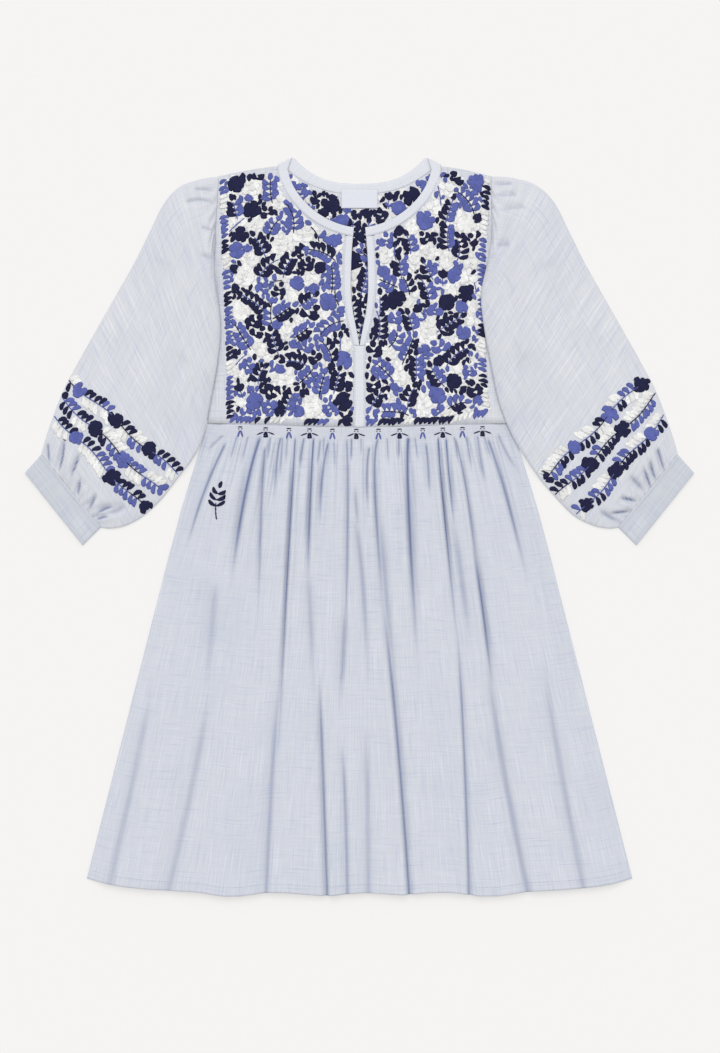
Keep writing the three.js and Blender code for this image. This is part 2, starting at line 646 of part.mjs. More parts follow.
// One ring of the flat cuff at a share of the way from its seam to its edge.
function cuffRing(along) {
  const place = (share, down) => [0, 1].map((axis) => lerp(
    lerp(CUFF_SEAM.outer[axis], CUFF_END.outer[axis], down),
    lerp(CUFF_SEAM.inner[axis], CUFF_END.inner[axis], down),
    share,
  ));
  const fold = 0.022;
  const wall = 0.016;
  const point = (share, z, innerShare, innerZ) => ({
    outer: [...place(share, along), z],
    inner: [...place(innerShare, along), innerZ],
  });
  const shares = [fold, 0.3, 0.7, 1 - fold];
  const upper = shares.map((share) => (
    point(share, CUFF_HEIGHT, clamp(share, 1.5 * fold, 1 - 1.5 * fold), CUFF_HEIGHT - BAND)
  ));
  const lower = [...shares].reverse().map((share) => (
    point(share, 0, clamp(share, 1.5 * fold, 1 - 1.5 * fold), BAND)
  ));
  const middle = CUFF_HEIGHT / 2;
  const ring = [
    point(0, middle, wall, middle),
    ...upper,
    point(1, middle, 1 - wall, middle),
    ...lower,
  ];
  return ring.map((points, i) => ({
    share: i / ring.length,
    outer: [-points.outer[0], points.outer[1], points.outer[2]],
    inner: [-points.inner[0], points.inner[1], points.inner[2]],
  }));
}

const cuffRows = () => [SEAM_GAP / CUFF_LENGTH, 0.35, 0.7, 1].map(cuffRing);

function makeDress() {
  const dress = new THREE.Group();
  const frontBand = neckbandFrontRows();
  const binding = slitBindingRows();
  const cuff = cuffRows();
  dress.add(
    mesh('yoke_front_left', yokeHalfRows(YOKE_SIDE.left), STITCHED_BLUE),
    mesh('yoke_front_right', mirrorRows(yokeHalfRows(YOKE_SIDE.right)), STITCHED_BLUE),
    mesh('yoke_back', yokeBackRows(), STITCHED_BLUE),
    mesh('neckband_front_left', frontBand, LIGHT_BLUE),
    mesh('neckband_front_right', mirrorRows(frontBand), LIGHT_BLUE),
    mesh('neckband_back', neckbandBackRows(), LIGHT_BLUE),
    mesh('slit_binding_left', binding, LIGHT_BLUE),
    mesh('slit_binding_right', mirrorRows(binding), LIGHT_BLUE),
    mesh('front_strip', frontStripRows(), LIGHT_BLUE),
    mesh('neck_label', neckLabelRows(), LIGHT_BLUE),
    mesh('skirt_front', skirtRows(FRONT_ROWS, FRONT_FOLDS, FRONT_GATHERS, skirtFrontPoint), PALE_BLUE),
    mesh('skirt_back', skirtRows(BACK_ROWS, BACK_FOLDS, BACK_GATHERS, skirtBackPoint), PALE_BLUE),
    mesh('sleeve_left', sleeveRows('left'), PALE_BLUE, true),
    mesh('sleeve_right', mirrorRows(sleeveRows('right'), true), PALE_BLUE, true),
    mesh('cuff_left', cuff, LIGHT_BLUE, true),
    mesh('cuff_right', mirrorRows(cuff, true), LIGHT_BLUE, true),
  );
  return dress;
}

export default makeDress();
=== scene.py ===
"""A mini dress laid flat on its back: gathered cloth, a stitched yoke, sleeves with vines, and cuffs.

The places in the tables below are in millimetres on the frame's axes: +X to the right as one looks down on
the front of the dress, +Y from the hem to the neck, +Z up from the floor. Left is the -X side.
"""
import math
import random
from collections import namedtuple

import bmesh
import bpy
import numpy as np
from bpy.props import FloatProperty, FloatVectorProperty, IntProperty, PointerProperty
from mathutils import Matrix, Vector
from mathutils.bvhtree import BVHTree


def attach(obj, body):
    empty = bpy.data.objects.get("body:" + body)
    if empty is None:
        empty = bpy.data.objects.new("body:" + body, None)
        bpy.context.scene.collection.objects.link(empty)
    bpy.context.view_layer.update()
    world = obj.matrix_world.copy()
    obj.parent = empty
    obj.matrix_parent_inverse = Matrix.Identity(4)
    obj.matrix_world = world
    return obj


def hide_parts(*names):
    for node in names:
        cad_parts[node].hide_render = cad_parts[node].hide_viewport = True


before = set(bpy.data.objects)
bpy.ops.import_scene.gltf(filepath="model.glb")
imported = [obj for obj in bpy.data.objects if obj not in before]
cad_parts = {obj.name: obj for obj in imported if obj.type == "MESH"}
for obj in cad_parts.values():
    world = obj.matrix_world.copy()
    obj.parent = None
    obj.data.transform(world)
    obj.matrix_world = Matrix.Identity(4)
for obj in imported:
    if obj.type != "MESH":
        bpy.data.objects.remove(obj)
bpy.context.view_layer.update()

bl_info = {
    "name": "Embroidered Mini Dress",
    "version": (1, 0, 0),
    "blender": (4, 5, 0),
    "location": "View3D > Sidebar > Dress",
    "description": "Cloth, stitching and stage of a mini dress laid flat",
    "category": "Object",
}

MM = 0.001
BODY = "root"
SIDES = ("left", "right")
CLOTH_UV = "cloth"
THREAD_UV = "thread"
TONE_ATTRIBUTE = "thread_tone"
# Name of the mask of painted shade that darkens the cloth in its creases and gather valleys
PAINTED_SHADE_ATTRIBUTE = "fold"
THREADS = ("navy", "blue", "white", "seam")
NAVY, BLUE, WHITE, SEAM = range(len(THREADS))

# Sizes that the cloth shares with the frame, in millimetres
NECK_TOP = 460.6
WAIST_SIDE_Y = 129.0
WAIST_DIP = 5.0
WAIST_HALF = 190.0
HEM_SIDE_Y = -439.4
HEM_LOWEST = -460.6
HEM_SAG = 16.0
SKIRT_LENGTH = WAIST_SIDE_Y - HEM_SIDE_Y
YOKE_REST = 4.2
SKIRT_REST = 4.6
CLOTH = 1.2
BAND = 1.8
GAP = 0.3
NECK_HALF, NECK_DEPTH, NECK_CENTRE_Y, NECK_ROUNDNESS = 90.0, 79.0, 452.0, 1.8
NECK_PEAK_X = 84.5
NECK_SIDE_X = 97.3
BAND_WIDTH = 12.5
BAND_END, BAND_FOOT_ANGLE = (-101.6, 451.8), 1.47
BINDING_WIDTH = 9.5
STRIP_HALF = 7.0
LABEL_WIDTH, LABEL_LENGTH, LABEL_TOP = 45.6, 23.2, 420.6
SMOCKED_DEPTH = 16.0
HEM_DEPTH = 12.0
CUFF_WIDTH = 117.0

# Thickness of the label's tape, in metres
LABEL_TAPE = 0.0004

# Heights of the yoke's and the skirt's side edges, of the back yoke and of the label, in millimetres
YOKE_EDGE, SKIRT_EDGE, YOKE_BACK_REST, LABEL_REST = 3.5, 2.7, 0.75, 2.75

# Lengths on the flat cloth, by which the weave is laid, in millimetres
BAND_LENGTH, BACK_BAND_LENGTH, BINDING_LENGTH, STRIP_LENGTH = 150, 210, 136, 102
FLAT_HALF_HEM, SLEEVE_LENGTH, CUFF_LENGTH = 340, 400, 30

# How cloth goes under a band: how far the yoke reaches in, and how the top edge of a skirt or a binding
# slips down and in over its first stretch, in millimetres
TUCK = 0.9
SLIP_REACH, SLIP_IN, SLIP_DOWN = 2.0, 1.6, 0.5

# Where the creases change their ways: the deepest one, the height over which a crease starts at the
# waist, the height under which it runs on to the hem, and how far in the skirt's side rises, in millimetres
DEEPEST_CREASE = 8.0
FROM_WAIST = 90.0
TO_HEM = -460.0
SIDE_RISE = 30.0

# The curves of the back neck: height in the middle, rise to the ends, and how late it rises
BACK_SEAM = (414.8, 36.2, 2.385)
BACK_FREE_EDGE = (428.3, 35.4, 2.83)

# The yoke's side edges: height, and distance from the middle on the left and on the right
YOKE_SIDE = {
    "left": ((129, 190), (240, 187.5), (338, 182.3), (437, 176.5)),
    "right": ((129, 190), (220, 184), (300, 172), (358, 165.4), (437, 165.4)),
}
SHOULDER_X = {side: rows[-1][1] for side, rows in YOKE_SIDE.items()}
SHOULDER_SIDE_Y, SHOULDER_NECK_Y = 437.0, 450.7

# The slit: height, half its width, where its bindings end, and the yoke's height at the side of that row
SlitRow = namedtuple("SlitRow", "y half seam side_y")
SLIT = [SlitRow(*row) for row in (
    (361.2, 8.2, 18.2, 334),
    (340, 9.8, 19.8, 318),
    (318, 10.6, 20.7, 300),
    (292, 10.6, 20.5, 280),
    (268, 8, 17.6, 262),
    (248, 4.2, 13.2, 246),
    (235, 1.6, 10, 234),
    (226, 0.15, 7, 225),
)]
# The yoke's row beside the strip, at the strip and at the side
STRIP_ROW_Y, STRIP_ROW_SIDE_Y = 173, 176

# Rows of the yoke beside the neck: angle round the neckline, and height at the side
NECK_ROWS = (
    (0.1, 437), (0.25, 424), (0.4, 411), (0.56, 399), (0.73, 388), (0.9, 376), (1.07, 365), (1.22, 355),
    (1.355, 345),
)

# Share of the skirt's length, and half its width there
SIDE_SEAM = ((0, 190), (0.0985, 206.9), (0.19, 222.8), (0.3, 239.4), (1, 340.6))

# Lowest stretches of the hem: share of its half width, drop, breadth as a share
HEM_WAVES = ((-0.47, 5.8, 0.1), (-0.13, 4.6, 0.11), (0.15, 3.4, 0.1), (0.475, 5.8, 0.1))

Crease = namedtuple("Crease", "x0 y0 x1 y1 x2 y2 depth breadth ridge")

# Creases of the skirt's front, from the waist down and from left to right: start, middle and end of each,
# its depth and breadth, and the side on which the cloth stands up beside it (0 for neither).
SKIRT_CREASES = [Crease(*row) for row in (
    (-170, 114, -181, 104, -192, 93, 2, 3, 0),
    (-167, 104, -196, 37, -218, -38, 5, 3.5, 1),
    (-124, 112, -146, 24, -161, -90, 8, 4.6, 1),
    (-118, 98, -123, 10, -127, -150, 4.5, 2.6, 1),
    (-98, 111, -103, 82, -107, 20, 5, 2.8, 1),
    (-96, 112, -98, 83, -99, 56, 2.2, 3, 0),
    (-80, 112, -89, -40, -104, -330, 7.5, 2.2, 1),
    (-99, -190, -109, -310, -117, -475, 3, 6, 1),
    (-69, 111, -73, 89, -74, 71, 3.5, 3, 0),
    (-57, 112, -62, 22, -65, -90, 7.5, 2.4, 1),
    (-49, 108, -51, 89, -53, 74, 2.2, 3.5, 0),
    (-39, 104, -47, 58, -50, -16, 5.5, 2.4, 1),
    (-32, 106, -31, 87, -31, 68, 2, 3, 0),
    (-16, 109, -15, -10, -20, -210, 4, 2.8, 0),
    (-10, 110, -10, 94, -11, 79, 4.5, 2.4, 0),
    (-6, 56, -4, 24, -2, -7, 2, 4, 0),
    (-10, 17, 3, -59, 13, -235, 3.4, 6.5, 0),
    (-180, -70, -183, -115, -193, -230, 2.6, 9, 0),
    (-66, -50, -61, -115, -56, -235, 3, 7.5, 0),
    (28, 20, 33, -80, 48, -235, 3, 8, 0),
    (114, 20, 127, -64, 140, -165, 3.4, 8, 0),
    (-17, -90, -20, -150, -25, -240, 3.6, 6, 0),
    (-153, 112, -157, 98, -163, 76, 3, 2, 0),
    (-139, 112, -143, 96, -148, 70, 3, 2.2, 0),
    (-111, 112, -113, 98, -116, 74, 3.4, 2, 0),
    (-89, 112, -91, 98, -92, 70, 3, 2, 0),
    (-44, 112, -45, 98, -45, 76, 3, 2, 0),
    (2, 112, 2, 100, 2, 84, 2.6, 2, 0),
    (34, 112, 35, 98, 36, 70, 3.4, 2, 0),
    (69, 112, 71, 98, 73, 76, 3.4, 2, 0),
    (118, 112, 121, 98, 125, 72, 4, 2, 0),
    (132, 113, 136, 96, 141, 60, 4, 2.2, 0),
    (155, 114, 160, 98, 167, 76, 3, 2, 0),
    (12, 98, 9, 60, 11, 4, 4.5, 2.6, 0),
    (23, 110, 20, 30, 36, -150, 5.5, 2.8, -1),
    (49, 109, 49, 96, 49, 81, 4.5, 2.6, 0),
    (61, 113, 62, 10, 76, -215, 8, 4.4, -1),
    (83, 103, 86, 67, 87, 29, 3.5, 2.8, 0),
    (98, 112, 106, 14, 126, -175, 7.5, 2.3, -1),
    (108, 110, 112, 62, 121, -24, 6.5, 2.6, -1),
    (120, 109, 136, 28, 153, -110, 5, 2.2, -1),
    (141, -20, 154, -105, 170, -240, 7, 3, -1),
    (134, 111, 135, 104, 135, 98, 2.5, 2.6, 0),
    (147, 116, 152, 78, 158, 53, 3, 3, 0),
    (160, 109, 184, 34, 214, -87, 4.5, 4, -1),
    (170, 124, 184, 91, 202, 65, 2, 4, 0),
    (166, 121, 166, 116, 166, 111, 2, 2.4, 0),
    (-19, -154, -22, -182, -26, -212, 2, 4, 0),
    (-23, -264, -18, -342, -15, -475, 3, 4.5, 0),
    (-51, -177, -46, -298, -40, -475, 5.5, 3, 1),
    (26, -70, 46, -250, 63, -475, 6, 3.6, -1),
    (120, -100, 130, -270, 137, -475, 4.5, 2.8, -1),
    (157, -150, 179, -300, 214, -475, 4.2, 8, 0),
    (228, -160, 250, -300, 284, -475, 3, 9, 0),
    (-187, -200, -205, -305, -243, -475, 2.6, 10, 0),
    (-258, -190, -281, -310, -318, -475, 2.6, 10, 0),
    (8, -242, 10, -342, 11, -475, 2.4, 8, 0),
)]

# The same for the back panel, as seen from under the floor
BACK_CREASES = [Crease(*row) for row in (
    (-150, 108, -176, 20, -205, -120, 2.2, 5, 0),
    (-121, 110, -132, 30, -150, -90, 2.2, 3.5, 0),
    (-92, 108, -100, 0, -118, -190, 2.4, 4, 0),
    (-60, 110, -66, 40, -70, -60, 2, 3, 0),
    (-33, 108, -36, -20, -42, -240, 2.4, 4, 0),
    (-4, 110, -4, 40, -6, -50, 2, 3, 0),
    (24, 110, 28, -30, 30, -220, 2.4, 4, 0),
    (55, 108, 62, 30, 70, -80, 2.2, 3.5, 0),
    (84, 110, 96, 0, 112, -200, 2.4, 4, 0),
    (118, 108, 134, 20, 156, -110, 2.2, 4, 0),
    (148, 110, 172, 20, 204, -150, 2.2, 5, 0),
    (-190, -180, -212, -300, -236, -450, 2, 9, 0),
    (-70, -230, -78, -330, -84, -455, 2, 7, 0),
    (66, -220, 74, -330, 82, -458, 2, 7, 0),
    (180, -190, 206, -300, 236, -448, 2, 9, 0),
)]

# Creases of the sleeves: the sleeve head's short ones, then those that the cuff gathers
SLEEVE_CREASES = {
    "left": [Crease(*row) for row in (
        (-215, 405, -196, 407, -180, 401, 2.2, 3, 0),
        (-205, 421, -191, 420, -179, 418, 1.6, 3, 0),
        (-196, 373, -188, 370, -179, 368, 1.8, 2.6, 0),
        (-197, 338, -188, 335, -179, 334, 1.4, 2.6, 0),
        (-240, 330, -262, 280, -282, 238, 1.6, 14, 0),
        (-216, 210, -246, 160, -272, 110, 1.6, 13, 0),
        (-368, 110, -371, 84, -377, 66, 3.6, 2.4, 0),
        (-345, 101, -354, 76, -362, 58, 3.6, 2.4, 0),
        (-347, 62, -350, 48, -352, 36, 3.2, 2.4, 0),
        (-389, 103, -388, 90, -387, 78, 2.2, 2.6, 0),
        (-328, 44, -333, 30, -340, 20, 2.6, 2.8, 0),
        (-305, 24, -318, 22, -331, 12, 3.2, 3, 0),
        (-312, 12, -322, 11, -330, 6, 3, 2.4, 0),
        (-290, 32, -302, 20, -322, 18, 2.4, 6, 0),
    )],
    "right": [Crease(*row) for row in (
        (190, 428, 178, 427, 166, 427, 2, 2.6, 0),
        (194, 414, 180, 413, 167, 413, 2, 2.6, 0),
        (205, 398, 186, 396, 168, 392, 1.6, 3.4, 0),
        (186, 352, 176, 350, 166, 348, 2.4, 4, 0),
        (236, 330, 258, 276, 276, 226, 1.6, 14, 0),
        (206, 214, 236, 160, 262, 112, 1.6, 13, 0),
        (372, 96, 377, 80, 382, 66, 2.4, 2.6, 0),
        (361, 88, 366, 68, 372, 56, 3.4, 2.4, 0),
        (352, 78, 360, 58, 365, 44, 3, 2.6, 0),
        (334, 66, 346, 54, 357, 42, 2.2, 5, 0),
        (322, 36, 336, 34, 350, 30, 3.2, 2.6, 0),
        (310, 16, 326, 18, 342, 19, 3, 2.4, 0),
        (296, 24, 312, 12, 330, 6, 2.2, 5, 0),
    )],
}

# Vines round the sleeves: both ends of each row on the upper layer
VINES = {
    "left": (((-370, 190), (-219, 58)), ((-378, 167), (-238, 34)), ((-386, 145), (-258, 13))),
    "right": (((366, 194), (222, 52)), ((380, 175), (239, 31)), ((386, 146), (262, 2))),
}

# Sections across a sleeve, from the armhole to the cuff: its two folds, and how far it is puffed up
Section = namedtuple("Section", "outer_x outer_y inner_x inner_y loft")
SLEEVE = {
    "left": [Section(*row) for row in (
        (177.1, 436.6, 182.9, 338, 2.5), (186, 436, 181.8, 326, 5), (201, 433, 178.6, 300, 8),
        (225, 424, 173, 252, 10), (244.5, 403, 176.3, 208, 11), (262.5, 367, 186.3, 152, 11),
        (282.5, 327, 196, 108, 11), (307.5, 283, 209, 83, 11), (333, 238, 228.5, 58, 11),
        (352, 204, 247, 34, 11), (369, 172, 270.5, 12.5, 11), (381.5, 141, 292, 1, 9.5),
        (391.5, 112, 310, -2.6, 6), (398.1, 89.1, 323.5, -1.6, 1),
    )],
    "right": [Section(*row) for row in (
        (166, 437, 166, 358, 2.5), (176, 437, 163, 341, 5), (193, 435, 158, 323, 8),
        (220, 426.5, 151.5, 290, 10), (243, 405, 154, 255, 11), (262.5, 367, 163, 204, 11),
        (282.5, 327, 174, 154, 11), (307.5, 283, 192, 110, 11), (333, 238, 220, 66, 11),
        (352, 204, 243, 38, 11), (369, 172, 268, 13, 11), (381.5, 141, 292, 1, 9.5),
        (391.5, 112, 310, -2.6, 6), (398.1, 89.1, 323.5, -1.6, 1),
    )],
}

# How high a flattened sleeve's edge stands, how far in its fold is round, and the cuff: the outer and inner
# corners of its seam and of its end, and its height
SLEEVE_EDGE = 3.4
SLEEVE_FOLD = 2.4
CUFF_SEAM = ((398.1, 89.1), (323.5, -1.6))
CUFF_END = ((418.1, 66.9), (345.6, -23.5))
CUFF_HEIGHT = 4.8


class ClothSettings(bpy.types.PropertyGroup):
    body: FloatVectorProperty(
        name="Body Colour", description="Cloth of the skirt", subtype="COLOR_GAMMA", size=3,
        default=(0.814, 0.828, 0.862), min=0, max=1)
    sleeve: FloatVectorProperty(
        name="Sleeve Colour", description="Cloth of the sleeves and yoke", subtype="COLOR_GAMMA", size=3,
        default=(0.833, 0.842, 0.864), min=0, max=1)
    trim: FloatVectorProperty(
        name="Trim Colour", description="Neckband, bindings and cuffs", subtype="COLOR_GAMMA", size=3,
        default=(0.868, 0.876, 0.903), min=0, max=1)
    cuff: FloatVectorProperty(
        name="Cuff Colour", description="Doubled cloth of the cuffs", subtype="COLOR_GAMMA", size=3,
        default=(0.786, 0.802, 0.832), min=0, max=1)
    label: FloatVectorProperty(
        name="Label Colour", description="Woven tape of the neck label", subtype="COLOR_GAMMA", size=3,
        default=(0.876, 0.886, 0.925), min=0, max=1)
    shell: FloatProperty(
        name="Cloth Thickness", description="Thickness of one layer as it is shown", subtype="DISTANCE",
        default=0.0006, min=0.0002, max=0.0012)


class FoldSettings(bpy.types.PropertyGroup):
    loft: FloatProperty(
        name="Skirt Loft", description="How far the front panel stands over its deepest folds",
        subtype="DISTANCE", default=0.0065, min=0.002, max=0.012)
    gathers: IntProperty(
        name="Gathers", description="Gathers along the front of the waist", default=44, min=20, max=80)
    crease_depth: FloatProperty(
        name="Crease Depth", description="Depth of all creases against the tables", default=1.0, min=0,
        max=1.6)


class StitchSettings(bpy.types.PropertyGroup):
    navy: FloatVectorProperty(
        name="Navy Thread", description="Darkest thread", subtype="COLOR_GAMMA", size=3,
        default=(0.135, 0.14, 0.265), min=0, max=1)
    blue: FloatVectorProperty(
        name="Blue Thread", description="Middle thread", subtype="COLOR_GAMMA", size=3,
        default=(0.37, 0.405, 0.665), min=0, max=1)
    white: FloatVectorProperty(
        name="White Thread", description="Padded white thread", subtype="COLOR_GAMMA", size=3,
        default=(0.925, 0.925, 0.92), min=0, max=1)
    seam: FloatVectorProperty(
        name="Seam Thread", description="Small stitches along hems and bands", subtype="COLOR_GAMMA", size=3,
        default=(0.73, 0.765, 0.83), min=0, max=1)
    relief: FloatProperty(
        name="Relief", description="Height of a stitched leaf over the cloth", subtype="DISTANCE",
        default=0.0011, min=0.0002, max=0.003)
    seed: IntProperty(name="Layout", description="Seed of the leaves' layout", default=11, min=0)


class StageSettings(bpy.types.PropertyGroup):
    camera_height: FloatProperty(
        name="Camera Height", description="Camera above the floor", subtype="DISTANCE", default=3.0, min=1)
    frame_height: FloatProperty(
        name="Framed Length", description="Length of floor that the picture shows", subtype="DISTANCE",
        default=1.31625, min=0.5)
    key_strength: FloatProperty(
        name="Key Light", description="Strength of the large soft light", default=1.4, min=0)
    fill_strength: FloatProperty(
        name="Fill Light", description="Strength of the light from all round", default=0.64, min=0)
    floor_glow: FloatProperty(
        name="Floor Glow", description="Share of the floor's brightness that shadows leave",
        default=0.6, min=0, max=1)
    floor: FloatVectorProperty(
        name="Floor Colour", description="Plain pale floor", subtype="COLOR_GAMMA", size=3,
        default=(0.957, 0.953, 0.949), min=0, max=1)


# Curves and heights

def smoothstep(value, low, high):
    share = np.clip((np.asarray(value, float) - low) / (high - low), 0, 1)
    return share * share * (3 - 2 * share)


def mix(first, second, share):
    return first + (second - first) * share


def read(table, key, column=1):
    """Reads one column of a table at values of its first column."""
    rows = np.array(table, float)
    rows = rows[np.argsort(rows[:, 0])]
    return np.interp(key, rows[:, 0], rows[:, column])


def spline(values, at):
    """A smooth curve through the values, read at places from 0 to their number less one."""
    values = np.asarray(values, float)
    padded = np.concatenate([[2 * values[0] - values[1]], values, [2 * values[-1] - values[-2]]])
    start = np.clip(np.floor(at).astype(int), 0, len(values) - 2)
    t = at - start
    p0, p1, p2, p3 = (padded[start + k] for k in range(4))
    return 0.5 * (2 * p1 + (p2 - p0) * t + (2 * p0 - 5 * p1 + 4 * p2 - p3) * t ** 2
                  + (3 * p1 - p0 - 3 * p2 + p3) * t ** 3)


def crease_path(crease):
    """Places along a crease, on a curve through its middle."""
    steps = np.linspace(0, 1, 13)

    def curve(first, middle, last):
        bend = 2 * middle - (first + last) / 2
        return (1 - steps) ** 2 * first + 2 * steps * (1 - steps) * bend + steps ** 2 * last
    return curve(crease.x0, crease.x1, crease.x2), curve(crease.y0, crease.y1, crease.y2)


def nearest_on_path(px, py, x, y):
    """How far places in plan lie from a path, on which side of it, and how far along it."""
    best = np.full(x.shape, np.inf)
    side = np.zeros_like(x)
    along = np.zeros_like(x)
    spans = len(px) - 1
    for k in range(spans):
        dx, dy = px[k + 1] - px[k], py[k + 1] - py[k]
        share = np.clip(((x - px[k]) * dx + (y - py[k]) * dy) / (dx * dx + dy * dy), 0, 1)
        away_x, away_y = x - px[k] - share * dx, y - py[k] - share * dy
        distance = np.hypot(away_x, away_y)
        closer = distance < best
        best[closer] = distance[closer]
        side[closer] = np.sign(dx * away_y - dy * away_x)[closer]
        along[closer] = ((k + share) / spans)[closer]
    return best, side, along


def crease_height(creases, x, y, factor=1.0, clear=2):
    """How far the creases lower the cloth at places in plan, and a mask of painted shade along their middles.
    Each is a trough along a bent line, some with a ridge beside it. The lower clear is, the more of a broad
    one shows in the painted shade."""
    total = np.zeros_like(x)
    crease_shade = np.zeros_like(x)
    for crease in creases:
        px, py = crease_path(crease)
        reach = 5 * crease.breadth
        near = ((x > px.min() - reach) & (x < px.max() + reach)
                & (y > py.min() - reach) & (y < py.max() + reach))
        if not near.any():
            continue
        best, side, along = nearest_on_path(px, py, x[near], y[near])
        fade_in = 0.04 if crease.y0 > FROM_WAIST else 0.4
        fade_out = 0 if crease.y2 < TO_HEM else smoothstep(along, 0.55, 1.0)
        strength = smoothstep(along, -0.02, fade_in) * (1 - fade_out)
        # The trough is steeper on the side of its ridge
        signed = best * side * (crease.ridge or 1)
        reached = np.where(signed < 0, 1.5, 0.75) * crease.breadth
        trough = np.exp(-(best / reached) ** 2)
        lip = np.exp(-((signed - 2.4 * crease.breadth) / (1.5 * crease.breadth)) ** 2)
        raised = 0.3 * lip * (crease.ridge != 0)
        total[near] += factor * crease.depth * strength * (raised - trough)
        # Painted shade along the crease: darkest in its middle, stronger for deep and narrow creases, and
        # weaker for broad ones unless clear is low
        crease_shade_profile = 0.85 * np.exp(-(best / (0.42 * crease.breadth)) ** 2) + 0.18 * np.exp(-(best / reached) ** 2)
        seen = (0.3 + 0.7 * crease.depth / DEEPEST_CREASE) * min(1, 4 / crease.breadth) ** clear
        crease_shade[near] = np.maximum(crease_shade[near], crease_shade_profile * strength * seen)
    return total, crease_shade


def waist_y(across):
    return WAIST_SIDE_Y - WAIST_DIP * (1 - across ** 2)


def half_width(along):
    return read(SIDE_SEAM, along)


def hem_y(across):
    drop = sum(depth * np.exp(-((across - at) / breadth) ** 2) for at, depth, breadth in HEM_WAVES)
    return np.maximum(HEM_LOWEST, HEM_SIDE_Y - HEM_SAG * (1 - across ** 6) - drop)


def skirt_plan(across, along):
    return across * half_width(along), mix(waist_y(across) - GAP, hem_y(across), along)


def neckline(angle, outside):
    power = 2 / NECK_ROUNDNESS
    return (-(NECK_HALF + outside) * np.cos(angle) ** power,
            NECK_CENTRE_Y - (NECK_DEPTH + outside * 0.92) * np.sin(angle) ** power)


def inside_neck(x, y, outside):
    """True where a place lies within the neckline's curve, moved outwards."""
    across = np.abs(x) / (NECK_HALF + outside)
    down = np.clip(NECK_CENTRE_Y - y, 0, None) / (NECK_DEPTH + outside * 0.92)
    return across ** NECK_ROUNDNESS + down ** NECK_ROUNDNESS < 1


def back_neck(share, curve):
    """Height of the back neck's curve at a share of the way from the middle to its end."""
    middle, rise, power = curve
    return middle + rise * np.minimum(np.abs(share), 1.0) ** power


def shoulder_y(x):
    """Top edge of the yoke beside the neck."""
    edge = np.where(x < 0, SHOULDER_X["left"], SHOULDER_X["right"])
    share = np.clip((np.abs(x) - NECK_SIDE_X) / (edge - NECK_SIDE_X), 0, 1)
    return mix(SHOULDER_NECK_Y, SHOULDER_SIDE_Y, share) + 1.6 * np.sin(np.pi * share)


def back_top_y(x, tuck=0.0):
    """Top edge of the back yoke: the neck's seam in the middle, and the shoulders beside it."""
    seam = back_neck(x / NECK_SIDE_X, BACK_SEAM) + tuck
    return np.where(np.abs(x) < NECK_SIDE_X, seam, shoulder_y(x))


def slipped(distance):
    """How far a place has slipped under the band above it, from 1 at the top edge to 0."""
    return 1 - smoothstep(distance, 0, SLIP_REACH)


# Making and naming pieces

def srgb(colour):
    """A colour as it is seen on screen, as the linear values that a shader takes."""
    return tuple(c / 12.92 if c <= 0.04045 else ((c + 0.055) / 1.055) ** 2.4 for c in colour) + (1.0,)


def link(mesh, material, nodes=()):
    """Makes a mesh a piece of the same name, which rides on the body and may stand for nodes."""
    piece = bpy.data.objects.new(mesh.name, mesh)
    bpy.context.scene.collection.objects.link(piece)
    mesh.materials.append(finishes()[material])
    mesh.polygons.foreach_set("use_smooth", [True] * len(mesh.polygons))
    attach(piece, BODY)
    if nodes:
        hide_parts(*nodes)
    return piece


def write_uv(mesh, name, places):
    """Gives each corner of a mesh the place that its point has on the flat cloth or thread."""
    corners = np.empty(len(mesh.loops), int)
    mesh.loops.foreach_get("vertex_index", corners)
    mesh.uv_layers.new(name=name).data.foreach_set("uv", places[corners].ravel())


def sheet_mesh(name, columns, rows, place, flipped=False, tube=False):
    """A grid whose points are placed by a function of their shares across and down. It gives x, y and z, and
    the point's place on the flat cloth, all in millimetres, and may give a mask of painted shade for the
    creases and valleys there."""
    grid = bmesh.new()
    bmesh.ops.create_grid(grid, x_segments=columns, y_segments=rows, size=0.5)
    if flipped:
        bmesh.ops.reverse_faces(grid, faces=grid.faces)
    mesh = bpy.data.meshes.new(name)
    grid.to_mesh(mesh)
    grid.free()
    points = np.empty(len(mesh.vertices) * 3)
    mesh.vertices.foreach_get("co", points)
    points = points.reshape(-1, 3)
    x, y, z, across, down, *folds = place(
        np.clip(points[:, 0] + 0.5, 0, 1), np.clip(0.5 - points[:, 1], 0, 1))
    mesh.vertices.foreach_set("co", (np.stack([x, y, z], 1) * MM).ravel())
    write_uv(mesh, CLOTH_UV, np.stack([across, down], 1) * MM)
    # An optional last value is painted shade, kept as a mask by which the cloth's material is darkened
    depth = folds[0] if folds else np.zeros_like(x)
    mesh.attributes.new(PAINTED_SHADE_ATTRIBUTE, "FLOAT", "POINT").data.foreach_set("value", np.clip(depth, 0, 1))
    if tube:
        welded = bmesh.new()
        welded.from_mesh(mesh)
        bmesh.ops.remove_doubles(welded, verts=welded.verts, dist=1e-6)
        welded.to_mesh(mesh)
        welded.free()
    mesh.update()
    return mesh


def cloth_piece(node_name, grid, place, material, slot, thickness, name=None, **shape):
    """One cut of cloth that stands for a node: a grid of columns and rows, laid and given its thickness."""
    mesh = sheet_mesh(name or f"cloth_{node_name}", *grid, place, **shape)
    piece = link(mesh, material, [node_name])
    wall = piece.modifiers.new("cloth wall", "SOLIDIFY")
    wall.thickness = thickness
    wall.offset = -1
    return piece


def surface_of(cloth):
    bpy.context.view_layer.update()
    return BVHTree.FromObject(bpy.data.objects[cloth], bpy.context.evaluated_depsgraph_get())


# Finishes

# The yarns' colours against the cloth's own, and the painted shade of its deepest folds, as they are seen
PALE_YARN = 1.09
BLUE_YARN = (0.84, 0.87, 0.97)
PAINTED_FOLD_SHADE = (0.46, 0.52, 0.7)


